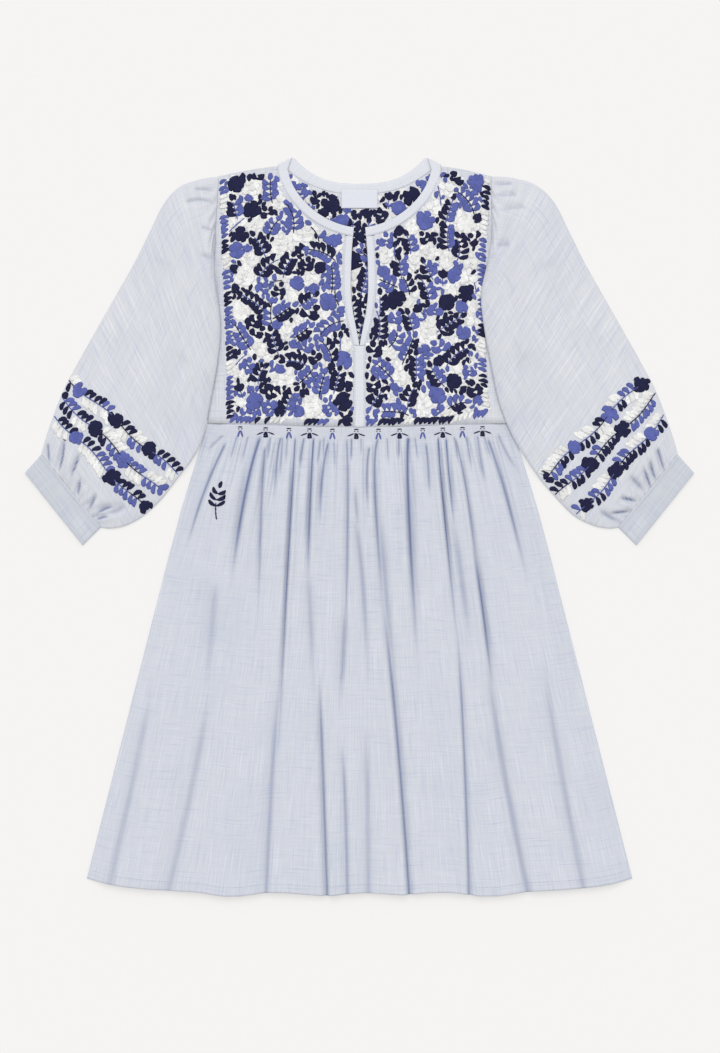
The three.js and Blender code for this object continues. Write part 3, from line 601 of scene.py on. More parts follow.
def new_group(name, inputs, outputs):
    group = bpy.data.node_groups.new(name, "ShaderNodeTree")
    for socket, kind, value in inputs:
        made = group.interface.new_socket(name=socket, in_out="INPUT", socket_type=kind)
        if value is not None:
            made.default_value = value
    for socket, kind in outputs:
        group.interface.new_socket(name=socket, in_out="OUTPUT", socket_type=kind)
    return group, group.nodes.new("NodeGroupInput"), group.nodes.new("NodeGroupOutput")


def node(tree, kind, inputs=(), **settings):
    """A node with its settings, and its inputs linked to sockets or given plain values."""
    made = tree.nodes.new(kind)
    for key, value in settings.items():
        setattr(made, key, value)
    for key, value in dict(inputs).items():
        if isinstance(value, bpy.types.NodeSocket):
            tree.links.new(value, made.inputs[key])
        else:
            made.inputs[key].default_value = value
    return made


def streak_noise(tree, place, scale, low, high, detail=2.0):
    """A mask of streaks: noise stretched by its scale along the cloth's two threads."""
    stretched = node(tree, "ShaderNodeVectorMath", {0: place, 1: scale}, operation="MULTIPLY")
    noise = node(tree, "ShaderNodeTexNoise", {"Vector": stretched.outputs[0], "Scale": 1.0, "Detail": detail})
    return node(tree, "ShaderNodeMapRange", {
        "Value": noise.outputs["Fac"], "From Min": low, "From Max": high}).outputs[0]


def mixed(tree, share, first, second):
    made = tree.nodes.new("ShaderNodeMix")
    made.data_type = "RGBA"
    for index, value in ((0, share), (6, first), (7, second)):
        if isinstance(value, bpy.types.NodeSocket):
            tree.links.new(value, made.inputs[index])
        else:
            made.inputs[index].default_value = value
    return made.outputs[2]


def slub_group():
    """Uneven yarns of a pale chambray: darker and paler streaks both ways, and the weave's fine height."""
    group, start, end = new_group(
        "Slub Weave",
        (("Place", "NodeSocketVector", None),
         ("Ground", "NodeSocketColor", (0.6, 0.65, 0.75, 1)),
         ("Pale Yarn", "NodeSocketColor", (0.8, 0.8, 0.8, 1)),
         ("Blue Yarn", "NodeSocketColor", (0.4, 0.45, 0.65, 1)),
         ("Streaks", "NodeSocketFloat", 0.5)),
        (("Colour", "NodeSocketColor"), ("Height", "NodeSocketFloat")))
    place = start.outputs["Place"]
    colour = start.outputs["Ground"]
    # Repeats to the metre both ways with a shift, where the noise fades in, the yarn and its strength
    layers = (
        ((620, 16, 0), 0.50, 0.78, "Pale Yarn", 0.6),
        ((560, 22, 3), 0.52, 0.80, "Blue Yarn", 0.5),
        ((24, 700, 7), 0.54, 0.80, "Pale Yarn", 0.45),
        ((20, 620, 9), 0.56, 0.80, "Blue Yarn", 0.6),
        ((11, 7, 1), 0.45, 0.75, "Blue Yarn", 0.14),
    )
    for scale, low, high, yarn, strength in layers:
        mask = streak_noise(group, place, scale, low, high)
        amount = node(group, "ShaderNodeMath", {0: mask, 1: strength}, operation="MULTIPLY")
        share = node(group, "ShaderNodeMath", {0: amount.outputs[0], 1: start.outputs["Streaks"]},
                     operation="MULTIPLY")
        colour = mixed(group, share.outputs[0], colour, start.outputs[yarn])
    warp = streak_noise(group, place, (1500, 120, 0), 0.3, 0.7, 0.0)
    weft = streak_noise(group, place, (120, 1500, 4), 0.3, 0.7, 0.0)
    height = node(group, "ShaderNodeMath", {0: warp, 1: weft}, operation="ADD")
    group.links.new(colour, end.inputs["Colour"])
    group.links.new(height.outputs[0], end.inputs["Height"])


def satin_group():
    """Threads laid side by side over a stitched leaf: a fine height, and paler and darker threads."""
    group, start, end = new_group(
        "Satin Stitch",
        (("Place", "NodeSocketVector", None), ("Thread", "NodeSocketColor", (0.5, 0.5, 0.5, 1)),
         ("Variation", "NodeSocketFloat", 0.2)),
        (("Colour", "NodeSocketColor"), ("Height", "NodeSocketFloat")))
    strands = streak_noise(group, start.outputs["Place"], (260, 2100, 0), 0.35, 0.65, 1.0)
    patches = streak_noise(group, start.outputs["Place"], (300, 300, 5), 0.3, 0.7, 1.0)
    both = node(group, "ShaderNodeMath", {0: strands, 1: patches}, operation="ADD")
    centred = node(group, "ShaderNodeMath", {0: both.outputs[0], 1: 1.0}, operation="SUBTRACT")
    share = node(group, "ShaderNodeMath", {0: centred.outputs[0], 1: start.outputs["Variation"], 2: 1.0},
                 operation="MULTIPLY_ADD")
    shaded = node(group, "ShaderNodeVectorMath", {0: start.outputs["Thread"], "Scale": share.outputs[0]},
                  operation="SCALE")
    group.links.new(shaded.outputs[0], end.inputs["Colour"])
    group.links.new(strands, end.inputs["Height"])


def new_material(name, **inputs):
    """Makes a material with plain values on its shader's own inputs, named with _ for a space."""
    material = bpy.data.materials.new(name)
    material.use_nodes = True
    shader = material.node_tree.nodes["Principled BSDF"]
    for key, value in inputs.items():
        shader.inputs[key.replace("_", " ")].default_value = value
    return shader


def cloth_material(name, colour, streaks=0.5, bump=0.25, smocked=False):
    shader = new_material(
        name, Roughness=0.82, Sheen_Weight=0.25, Sheen_Roughness=0.5, Specular_IOR_Level=0.25)
    tree = shader.id_data
    place = node(tree, "ShaderNodeUVMap", uv_map=CLOTH_UV)
    weave = node(tree, "ShaderNodeGroup", node_tree=bpy.data.node_groups["Slub Weave"], inputs={
        "Place": place.outputs[0],
        "Ground": srgb(colour),
        "Pale Yarn": srgb([min(1, c * PALE_YARN + 0.012) for c in colour]),
        "Blue Yarn": srgb([c * part for c, part in zip(colour, BLUE_YARN)]),
        "Streaks": streaks,
    })
    # Painted shade: the mask darkens the cloth towards a dull blue-grey in its creases and the gathers'
    # valleys, where shade falls
    fold = node(tree, "ShaderNodeAttribute", attribute_name=PAINTED_SHADE_ATTRIBUTE)
    shaded = mixed(tree, fold.outputs["Fac"], weave.outputs["Colour"],
                   srgb([c * part for c, part in zip(colour, PAINTED_FOLD_SHADE)]))
    relief = node(tree, "ShaderNodeBump", {
        "Height": weave.outputs["Height"], "Strength": bump, "Distance": 0.0002})
    normal = relief.outputs[0]
    if smocked:
        normal = smocking(tree, place.outputs[0], normal)
    tree.links.new(shaded, shader.inputs["Base Color"])
    tree.links.new(normal, shader.inputs["Normal"])


def smocking(tree, place, normal):
    """Fine upright pleats in the stitched strip under the waist seam."""
    parts = node(tree, "ShaderNodeSeparateXYZ", {0: place})
    pleats = node(tree, "ShaderNodeTexWave", {"Vector": place, "Scale": 120.0, "Distortion": 0.6},
                  wave_type="BANDS", bands_direction="X")
    inside = node(tree, "ShaderNodeMapRange", {
        "Value": parts.outputs[1], "From Min": SMOCKED_DEPTH * MM, "From Max": (SMOCKED_DEPTH + 3) * MM,
        "To Min": 1.0, "To Max": 0.0})
    height = node(tree, "ShaderNodeMath", {0: pleats.outputs["Fac"], 1: inside.outputs[0]},
                  operation="MULTIPLY")
    return node(tree, "ShaderNodeBump", {
        "Height": height.outputs[0], "Strength": 0.4, "Distance": 0.0005, "Normal": normal}).outputs[0]


def thread_material():
    shader = new_material("stitching thread", Roughness=0.75, Specular_IOR_Level=0.12)
    tree = shader.id_data
    place = node(tree, "ShaderNodeUVMap", uv_map=THREAD_UV)
    tone = node(tree, "ShaderNodeAttribute", attribute_name=TONE_ATTRIBUTE)
    satin = node(tree, "ShaderNodeGroup", node_tree=bpy.data.node_groups["Satin Stitch"], inputs={
        "Place": place.outputs[0], "Thread": tone.outputs["Color"], "Variation": 0.16})
    relief = node(tree, "ShaderNodeBump", {
        "Height": satin.outputs["Height"], "Strength": 0.5, "Distance": 0.0002})
    tree.links.new(satin.outputs["Colour"], shader.inputs["Base Color"])
    tree.links.new(relief.outputs[0], shader.inputs["Normal"])


def finishes():
    """The materials, made when the first piece asks for them."""
    if "stitching thread" not in bpy.data.materials:
        slub_group()
        satin_group()
        cloth = bpy.context.scene.dress_cloth
        cloth_material("skirt cloth", tuple(cloth.body), 0.95, smocked=True)
        cloth_material("sleeve cloth", tuple(cloth.sleeve), 1.25)
        cloth_material("trim cloth", tuple(cloth.trim), 0.55)
        cloth_material("cuff cloth", tuple(cloth.cuff), 1.1)
        cloth_material("label tape", tuple(cloth.label), 0.1, 0.4)
        thread_material()
    return bpy.data.materials


# Yoke

def yoke_half_place(side):
    """The front yoke beside the slit, from its side to the middle and from the shoulder to the waist."""
    angles = [angle for angle, _ in NECK_ROWS]
    sides = [y for _, y in NECK_ROWS] + [row.side_y for row in SLIT] + [STRIP_ROW_SIDE_Y, WAIST_SIDE_Y]
    inner = [neckline(angle, BAND_WIDTH - TUCK) for angle in angles]
    inner += [(-row.seam + TUCK, row.y) for row in SLIT]
    inner += [(-STRIP_HALF + TUCK, y) for y in (STRIP_ROW_Y, WAIST_SIDE_Y - WAIST_DIP)]
    inner = np.array(inner, float)
    last = len(sides) - 1

    def place(u, v):
        share = u if side == "left" else 1 - u
        row = v * last
        side_y = np.interp(row, range(last + 1), sides)
        side_x = -read(YOKE_SIDE[side], side_y)
        curve_x, curve_y = neckline(np.interp(row, range(len(angles)), angles), BAND_WIDTH - TUCK)
        beside_neck = row <= len(angles) - 1
        inner_x = np.where(beside_neck, curve_x, np.interp(row, range(last + 1), inner[:, 0]))
        inner_y = np.where(beside_neck, curve_y, np.interp(row, range(last + 1), inner[:, 1]))
        x = mix(side_x, inner_x, share)
        y = mix(side_y, inner_y, share) + 2.5 * np.sin(np.pi * share) * (1 - smoothstep(row, 0, 1))
        climb = smoothstep(row, 0, 2) * smoothstep(x - side_x, 0, 16)
        z = mix(YOKE_EDGE, YOKE_REST + CLOTH, climb)
        z += 0.35 * np.sin(x / 19 + 1.3) * np.sin(y / 27) * climb
        if side == "right":
            x = -x
        return x, y, z, x, NECK_TOP - y
    return place


def yoke_back_place(u, v):
    top_y = back_top_y(mix(-SHOULDER_X["left"], SHOULDER_X["right"], u), TUCK)
    y = mix(top_y, waist_y(2 * u - 1), v)
    x = mix(-read(YOKE_SIDE["left"], y), read(YOKE_SIDE["right"], y), u)
    return x, y, np.full_like(x, YOKE_BACK_REST), x, NECK_TOP - y


class DRESS_OT_yoke(bpy.types.Operator):
    """Lays out the back of the yoke and the two halves of its front"""
    bl_idname = "dress.yoke"
    bl_label = "Yoke"

    def execute(self, context):
        shell = context.scene.dress_cloth.shell
        back = cloth_piece("yoke_back", (90, 80), yoke_back_place, "sleeve cloth", "embroidered_cloth", shell,
                           flipped=True)
        for side in SIDES:
            half = cloth_piece(f"yoke_front_{side}", (60, 90), yoke_half_place(side), "sleeve cloth",
                               "embroidered_cloth", shell)
        return {"FINISHED"}


# Neckband, bindings, strip and label

def crowned(share):
    """The rounded edges of a doubled band, from its seam to its free edge."""
    return -0.45 * np.abs(2 * share - 1) ** 6


def neckband_front_place(side):
    last = len(NECK_ROWS)
    angles = [angle for angle, _ in NECK_ROWS] + [BAND_FOOT_ANGLE]

    def place(u, v):
        share = u if side == "left" else 1 - u
        row = v * (last + 1)
        angle = np.interp(row - 1, range(last + 1), angles)
        seam_x, seam_y = neckline(angle, BAND_WIDTH)
        free_x, free_y = neckline(angle, 0)
        first = np.clip(row, 0, 1)
        seam_x, seam_y = (mix(end, at, first) for end, at in zip(BAND_END, (seam_x, seam_y)))
        free_x, free_y = mix(-NECK_PEAK_X, free_x, first), mix(NECK_TOP, free_y, first)
        rise = smoothstep(angle, 0, 0.6) * first
        z = mix(2 * BAND + 2 * GAP, YOKE_REST + BAND, rise) + crowned(share)
        x, y = mix(seam_x, free_x, share), mix(seam_y, free_y, share)
        if side == "right":
            x = -x
        return x, y, z, share * BAND_WIDTH, v * BAND_LENGTH
    return place


def neckband_back_place(u, v):
    at = 2 * u - 1
    x = mix(at * NECK_PEAK_X, at * NECK_SIDE_X, v)
    y = mix(np.minimum(NECK_TOP, back_neck(at, BACK_FREE_EDGE)), back_neck(at, BACK_SEAM), v)
    return x, y, BAND + crowned(v), u * BACK_BAND_LENGTH, v * BAND_WIDTH


def slit_binding_place(side):
    def place(u, v):
        share = u if side == "left" else 1 - u
        row = v * (len(SLIT) - 1)
        y, half, seam = (spline([entry[k] for entry in SLIT], row) for k in range(3))
        x = -mix(seam, np.maximum(half, SLIT[-1].half), share)
        if side == "right":
            x = -x
        slip = slipped(v * BINDING_LENGTH)
        z = YOKE_REST + BAND + crowned(share) - SLIP_DOWN * slip
        return x, y + SLIP_IN * slip, z, share * BINDING_WIDTH, v * BINDING_LENGTH
    return place


def front_strip_place(u, v):
    y = mix(SLIT[-1].y - GAP, WAIST_SIDE_Y - WAIST_DIP, v)
    z = YOKE_REST + BAND + crowned(u) - 0.12 * np.exp(-((2 * u - 1) / 0.12) ** 2)
    return mix(-STRIP_HALF, STRIP_HALF, u), y, z, u * 2 * STRIP_HALF, v * STRIP_LENGTH


def neck_label_place(u, v):
    x, y = mix(-LABEL_WIDTH / 2, LABEL_WIDTH / 2, u), mix(LABEL_TOP, LABEL_TOP - LABEL_LENGTH, v)
    edge = np.minimum(np.minimum(u, 1 - u) * LABEL_WIDTH, np.minimum(v, 1 - v) * LABEL_LENGTH)
    return x, y, LABEL_REST + 0.35 * smoothstep(edge, 0, 1.2) + 0.1 * np.sin(x / 6), x, y


Band = namedtuple("Band", "node grid place flat rests_on")


class DRESS_OT_bands(bpy.types.Operator):
    """Sews on the neckband, the slit's bindings, the strip below it and the blank neck label"""
    bl_idname = "dress.bands"
    bl_label = "Bands and Label"

    def execute(self, context):
        shell = context.scene.dress_cloth.shell
        left, right = (f"cloth_yoke_front_{side}" for side in SIDES)
        bands = [Band(*row) for row in (
            ("neckband_front_left", (8, 90), neckband_front_place("left"), (0.025, 0.16), [left]),
            ("neckband_front_right", (8, 90), neckband_front_place("right"), (0.025, 0.16), [right]),
            ("neckband_back", (90, 8), neckband_back_place, (0.22, 0.025), ["cloth_yoke_back"]),
            ("slit_binding_left", (8, 60), slit_binding_place("left"), (0.02, 0.14), [left]),
            ("slit_binding_right", (8, 60), slit_binding_place("right"), (0.02, 0.14), [right]),
            ("front_strip", (12, 40), front_strip_place, (0.028, 0.105), [left, right]),
        )]
        for band in bands:
            piece = cloth_piece(band.node, band.grid, band.place, "trim cloth", "trim_cloth", 2 * shell)
        label = cloth_piece("neck_label", (40, 22), neck_label_place, "label tape", "label_tape", LABEL_TAPE,
                            name="label_neck")
        return {"FINISHED"}


# Skirt

def gather_ridges(across, count, down):
    """Uneven gathers under the waist seam: the height of their round ridges, and a mask of painted shade in
    their valleys.
    """
    turns = count * (across + 1) / 2 + 0.45 * np.sin(across * 23) + 0.3 * np.sin(across * 51 + 1)
    height = np.interp(down, (12, SMOCKED_DEPTH, 26, 60, 110, 190), (0.1, 0.8, 2.2, 1.8, 1.0, 0.0))
    uneven = 0.62 + 0.38 * np.sin(turns * 1.37 + 0.8)
    round_top = np.abs(np.sin(np.pi * turns))
    return height * uneven * round_top ** 0.75, height / 2.2 * uneven * (1 - round_top) ** 4


def soft_waves(across, down):
    """Low long waves over the whole panel."""
    return (0.5 * np.sin(across * 29 + 0.8 + down / 260) + 0.4 * np.sin(across * 47 + 2.1 - down / 310)
            + 0.22 * np.sin(across * 83 + down / 190)) * smoothstep(down, 50, 190)


def down_share(v):
    """Rows lie closer together at the waist and at the hem."""
    return v - 0.1 * np.sin(2 * np.pi * v)


def from_seam(across, along):
    return smoothstep((1 - np.abs(across)) * half_width(along), 0, SIDE_RISE)


def skirt_front_place(folds):
    def place(u, v):
        across, along = 2 * u - 1, down_share(v)
        x, y = skirt_plan(across, along)
        down = along * SKIRT_LENGTH
        loft = folds.loft / MM * smoothstep(down, SMOCKED_DEPTH, 90)
        shaped = smoothstep(down, SMOCKED_DEPTH - 4, 27)
        troughs, crease_shade = crease_height(SKIRT_CREASES, x, y, folds.crease_depth, 0.7)
        ridges, valley_shade = gather_ridges(across, folds.gathers, down)
        rest = mix(YOKE_REST, SKIRT_REST, smoothstep(down, 0, 60)) + CLOTH
        lift = loft + ridges + soft_waves(across, down) + troughs * shaped
        full = rest + np.where(lift > 0, lift, 0.2 * np.maximum(lift, -5))
        hem = smoothstep(SKIRT_LENGTH - down, HEM_DEPTH + 1.5, HEM_DEPTH)
        z = mix(SKIRT_EDGE, full, from_seam(across, along)) + 0.4 * hem
        slip = slipped(down)
        # Painted shade: darker in the creases' middles below the smocked strip and in the gathers' valleys,
        # most near the waist
        shade = smoothstep(down, 11, 15) * crease_shade + (0.16 + 0.3 * smoothstep(down, 60, 14)) * valley_shade
        return x, y + SLIP_IN * slip, z - SLIP_DOWN * slip, across * FLAT_HALF_HEM, down, shade
    return place


def skirt_back_place(u, v):
    across, along = 2 * u - 1, down_share(v)
    x, y = skirt_plan(across, along)
    down = along * SKIRT_LENGTH
    troughs, crease_shade = crease_height(BACK_CREASES, x, y)
    ridges, valley_shade = gather_ridges(across + 0.013, 36, down)
    gathers = (1.7 - 0.65 * ridges) * smoothstep(down, SMOCKED_DEPTH, 34) * (1 - smoothstep(down, 70, 180))
    raised = np.clip(gathers - troughs + 0.35 * soft_waves(across + 0.4, down), 0, 2.6)
    z = 0.1 + raised * from_seam(across, along) * (1 - 0.5 * smoothstep(down, 540, SKIRT_LENGTH))
    # The last value is painted shade in the creases' middles and the gathers' valleys
    return x, y, z, across * FLAT_HALF_HEM, down, 0.8 * crease_shade + 0.34 * valley_shade


class DRESS_OT_skirt(bpy.types.Operator):
    """Gathers the front and back panels of the skirt under the yoke"""
    bl_idname = "dress.skirt"
    bl_label = "Skirt"

    def execute(self, context):
        shell = context.scene.dress_cloth.shell
        back = cloth_piece("skirt_back", (260, 66), skirt_back_place, "skirt cloth", "body_cloth", shell,
                           flipped=True)
        place = skirt_front_place(context.scene.dress_folds)
        front = cloth_piece("skirt_front", (500, 88), place, "skirt cloth", "body_cloth", shell)
        return {"FINISHED"}


# Sleeves and cuffs

def around(u, width):
    """Splits a ring's share into the share of the way across, whether it is on the lower layer, and how
    round the fold at the edge is there."""
    lower = u > 0.5
    half = np.where(lower, 2 - 2 * u, 2 * u)
    across = mix(half, 0.5 - 0.5 * np.cos(np.pi * half), 0.6)
    inward = np.minimum(across, 1 - across) * width / SLEEVE_FOLD
    rounded = np.sqrt(np.clip(1 - (1 - np.minimum(inward, 1)) ** 2, 0, 1))
    return across, lower, rounded


def under_sleeve(side, x, y):
    """Height of the yoke or the skirt's corner under the sleeve."""
    along = np.clip((WAIST_SIDE_Y - y) / SKIRT_LENGTH, 0, 1)
    edge = np.where(y > WAIST_SIDE_Y, read(YOKE_SIDE[side], y), half_width(along))
    seam_end = SLEEVE[side][0].inner_y
    below_seam = 1 - smoothstep(y, seam_end + 15, seam_end + 55)
    height = mix(4.4, 6.6, smoothstep(y, WAIST_SIDE_Y - 10, WAIST_SIDE_Y + 25))
    return height * below_seam * (1 - smoothstep(x - edge, 4, 26))


def past_vines(side, x, y):
    """How far a place lies beyond the last stitched row, towards the cuff. The rows hold the cloth flat."""
    start, end = np.array(VINES[side][-1], float)
    run = np.abs(end - start) / np.hypot(*(end - start))
    return math.copysign(run[1], start[0]) * (x - start[0]) - run[0] * (y - start[1])


def sleeve_place(side):
    sections = SLEEVE[side]
    last = len(sections) - 1
    sign = -1 if side == "left" else 1

    def place(u, v):
        ring = u if side == "left" else 1 - u
        at = v * last
        outer_x, outer_y, inner_x, inner_y, loft = (
            spline([section[k] for section in sections], at) for k in range(5))
        width = np.hypot(outer_x - inner_x, outer_y - inner_y)
        across, lower, rounded = around(ring, width)
        x, y = mix(outer_x, inner_x, across), mix(outer_y, inner_y, across)
        ground = under_sleeve(side, x, y) + 0.7 * smoothstep(v, 0.05, 0.2) * (1 - smoothstep(v, 0.93, 1))
        arch = loft * (4 * across * (1 - across)) ** 0.7
        head = (1 - smoothstep(v, 0.03, 0.24)) * smoothstep(v, -0.02, 0.04)
        cuff = smoothstep(v, 0.84, 0.94)
        soft = smoothstep(np.minimum(across, 1 - across), 0, 0.12)
        gather = (1.2 * head * np.sin(2 * np.pi * 6 * across ** 1.2 + 1)
                  + 0.7 * cuff * np.sin(2 * np.pi * 11 * across + 2 * np.sin(9 * across)))
        dents = np.sin(at * 1.9 + across * 5) * np.sin(across * 9 + 1) * smoothstep(v, 0.1, 0.3)
        troughs, crease_shade = crease_height(SLEEVE_CREASES[side], sign * x, y, 1.7)
        free = np.where(v < 0.5, 1, smoothstep(past_vines(side, sign * x, y), 9, 22))
        # Painted shade in the creases, held back under the vines, weaker at the head and stronger towards the
        # cuff
        troughs, crease_shade = troughs * free, crease_shade * free * np.where(v < 0.5, 0.6, 1.7)
        puff = np.maximum(0.15 * arch, arch + (gather + dents + troughs) * soft)
        middle = ground + SLEEVE_EDGE / 2
        upper_z = middle + SLEEVE_EDGE / 2 * rounded + puff * smoothstep(rounded, 0, 1)
        lower_z = middle - SLEEVE_EDGE / 2 * rounded
        sewn = 1 - smoothstep(v, 0, 0.018)
        upper_z = mix(upper_z, 3.9, sewn * rounded)
        x = x - SLIP_IN * sewn * rounded
        z = np.where(lower, lower_z, upper_z)
        round_the_arm = np.where(lower, 2 - across, across) * width
        # The last value is the painted crease shade, none on the lower layer
        return sign * x, y, z, v * SLEEVE_LENGTH, round_the_arm, np.where(lower, 0, crease_shade)
    return place


def cuff_place(side):
    sign = -1 if side == "left" else 1
    seam, end = np.array(CUFF_SEAM), np.array(CUFF_END)

    def place(u, v):
        ring = u if side == "left" else 1 - u
        down = mix(-0.045, 1.0, v)
        across, lower, rounded = around(ring, CUFF_WIDTH)
        x, y = (mix(mix(seam[0][k], end[0][k], down), mix(seam[1][k], end[1][k], down), across)
                for k in range(2))
        ridge = 0.35 * np.exp(-((v - 0.06) / 0.05) ** 2) - 0.25 * np.exp(-((v - 0.9) / 0.025) ** 2)
        ripple = 0.25 * np.sin(across * 16 + 1) * np.sin(v * 3)
        raised = ridge + ripple + 0.5 * (1 - smoothstep(v, 0, 0.2))
        upper_z = CUFF_HEIGHT / 2 * (1 + rounded) + raised * rounded
        z = np.where(lower, CUFF_HEIGHT / 2 * (1 - rounded) + 0.05, upper_z)
        return sign * x, y, z, v * CUFF_LENGTH, np.where(lower, 2 - across, across) * CUFF_WIDTH
    return place


class DRESS_OT_sleeves(bpy.types.Operator):
    """Sets in the two full sleeves, flattened as they lie, with the folds of their heads and cuffs"""
    bl_idname = "dress.sleeves"
    bl_label = "Sleeves and Cuffs"

    def execute(self, context):
        shell = context.scene.dress_cloth.shell
        for side in SIDES:
            sleeve = cloth_piece(f"sleeve_{side}", (180, 124), sleeve_place(side), "sleeve cloth",
                                 "body_cloth", shell, tube=True)
            cuff = cloth_piece(f"cuff_{side}", (160, 20), cuff_place(side), "cuff cloth", "trim_cloth",
                               1.5 * shell, tube=True)
        return {"FINISHED"}


# Stitching

# A stitched leaf: its middle, angle, length and width, how far it narrows to its tip and bends, its height
# against the relief, and its thread. RAGGED is how uneven its outline is.
Leaf = namedtuple("Leaf", "x y angle length width taper bend rise tone")
RAGGED = 0.055

# Rings of a leaf's dome from its foot up: how far each draws in, and its rise. Low ones lie underneath.
ROUND_DOME = ((0.95, 0.66), (0.7, 0.3))
LOW_DOME = ((0.82, 0.9),)

# How deep a leaf sinks in the cloth, how low it may reach, and how far apart leaves lie on the flat thread
SUNK, LOWEST, APART = 0.12, 0.05, 3


def leaf_template(sides, rings):
    """A closed dome over a unit disc: its places along and across, and its height from 0 to 1."""
    dome = bmesh.new()
    bmesh.ops.create_circle(dome, cap_ends=True, segments=sides, radius=0.5)
    top = dome.faces[:]
    for step, (scale, rise) in enumerate(rings):
        extruded = bmesh.ops.extrude_face_region(dome, geom=top, use_keep_orig=step == 0)
        top = [item for item in extruded["geom"] if isinstance(item, bmesh.types.BMFace)]
        corners = [item for item in extruded["geom"] if isinstance(item, bmesh.types.BMVert)]
        bmesh.ops.translate(dome, verts=corners, vec=(0, 0, rise))
        bmesh.ops.scale(dome, verts=corners, vec=(scale, scale, 1))
    bmesh.ops.poke(dome, faces=top, offset=0.04)
    bmesh.ops.recalc_face_normals(dome, faces=dome.faces)
    points = np.array([vert.co[:] for vert in dome.verts])
    faces = [[vert.index for vert in face.verts] for face in dome.faces]
    dome.free()
    return points, faces


def leaf_outline(leaves, points):
    """Places in plan of every template point on every leaf."""
    rows = np.array([leaf[:8] for leaf in leaves])
    x, y, angle, length, width, taper, bend, _ = (rows[:, k][:, None] for k in range(8))
    turn = np.arctan2(points[:, 1], points[:, 0])[None, :]
    ragged = 1 + RAGGED * (np.sin(5 * turn + 7 * x + 3 * y) + 0.8 * np.sin(3 * turn + 5 * y))
    along, across = points[None, :, 0] * ragged, points[None, :, 1] * ragged
    a = along * length
    b = across * width * (1 - taper * 2 * along) + bend * (4 * along ** 2 - 0.5) * width
    cos, sin = np.cos(angle), np.sin(angle)
    return x + a * cos - b * sin, y + a * sin + b * cos, a, across * width


def heights_of(surface, x, y, from_below):
    """Height of a cloth at places in plan, as seen from above or from below, and nan beside it."""
    ground = np.full(x.shape, np.nan)
    ray = Vector((0, 0, 1 if from_below else -1))
    start = -0.05 if from_below else 0.1
    for place in np.ndindex(x.shape):
        hit = surface.ray_cast(Vector((x[place] * MM, y[place] * MM, start)), ray)[0]
        if hit is not None:
            ground[place] = hit.z / MM
    return ground


def stitched_piece(name, leaves, cloth, downwards=False, sides=10, rings=ROUND_DOME):
    """Joins leaves in one piece, laid on the cloth that carries them, without those that reach past it."""
    stitches = bpy.context.scene.dress_stitches
    points, faces = leaf_template(sides, rings)
    outline = leaf_outline(leaves, points)
    level = heights_of(surface_of(cloth), *outline[:2], downwards)
    whole = ~np.isnan(level).any(axis=1)
    x, y, along, across = (values[whole] for values in outline)
    leaves = [leaf for leaf, kept in zip(leaves, whole) if kept]
    rise = np.array([leaf.rise for leaf in leaves])[:, None] * stitches.relief / MM
    height = points[None, :, 2] * rise - SUNK
    z = np.maximum(level[whole] + (-height if downwards else height), LOWEST)
    count, size = z.shape
    places = np.stack([x, y, z], 2).reshape(-1, 3) * MM
    turned = [face[::-1] for face in faces] if downwards else faces
    joined = [[corner + size * k for corner in face] for k in range(count) for face in turned]
    mesh = bpy.data.meshes.new(name)
    mesh.from_pydata(places.tolist(), [], joined)
    threads = np.array([srgb(getattr(stitches, thread)) for thread in THREADS])
    tones = threads[[leaf.tone for leaf in leaves]]
    tones[:, :3] *= np.random.RandomState(stitches.seed).uniform(0.9, 1.08, (count, 1))
    colours = mesh.color_attributes.new(TONE_ATTRIBUTE, "FLOAT_COLOR", "POINT")
    colours.data.foreach_set("color", np.repeat(tones, size, axis=0).ravel())
    shift = np.repeat(np.arange(count), size) * APART
    write_uv(mesh, THREAD_UV, np.stack([along.ravel(), across.ravel() + shift], 1) * MM)
    mesh.validate()
    link(mesh, "stitching thread")


def disc_grid(count):
    """Places spread evenly over a unit disc."""
    grid = np.mgrid[-0.5:0.5:count * 1j, -0.5:0.5:count * 1j].reshape(2, -1).T
    disc = grid[np.hypot(grid[:, 0], grid[:, 1]) <= 0.5]
    return np.column_stack([disc, np.zeros(len(disc))])


# Places of a leaf that tell whether it fits: its middle and two rings. COVER holds those that it covers.
RINGS = ((0.3, np.arange(0, 6.28, 1.05)), (0.46, np.arange(0.3, 6.5, 0.63)))
TEST = np.array([(0, 0, 0)] + [(radius * math.cos(a), radius * math.sin(a), 0)
                               for radius, angles in RINGS for a in angles])
COVER = disc_grid(15)

# What a cell of a field holds where it carries no thread, and how often a bare one is sought
BARE, OUTSIDE = -1, 9
PLACE_TRIES = 400

# How far motifs look round for the tones beside them, in cells, to part and to join
LOOK_ROUND, LOOK_CLOSE = 14, 7


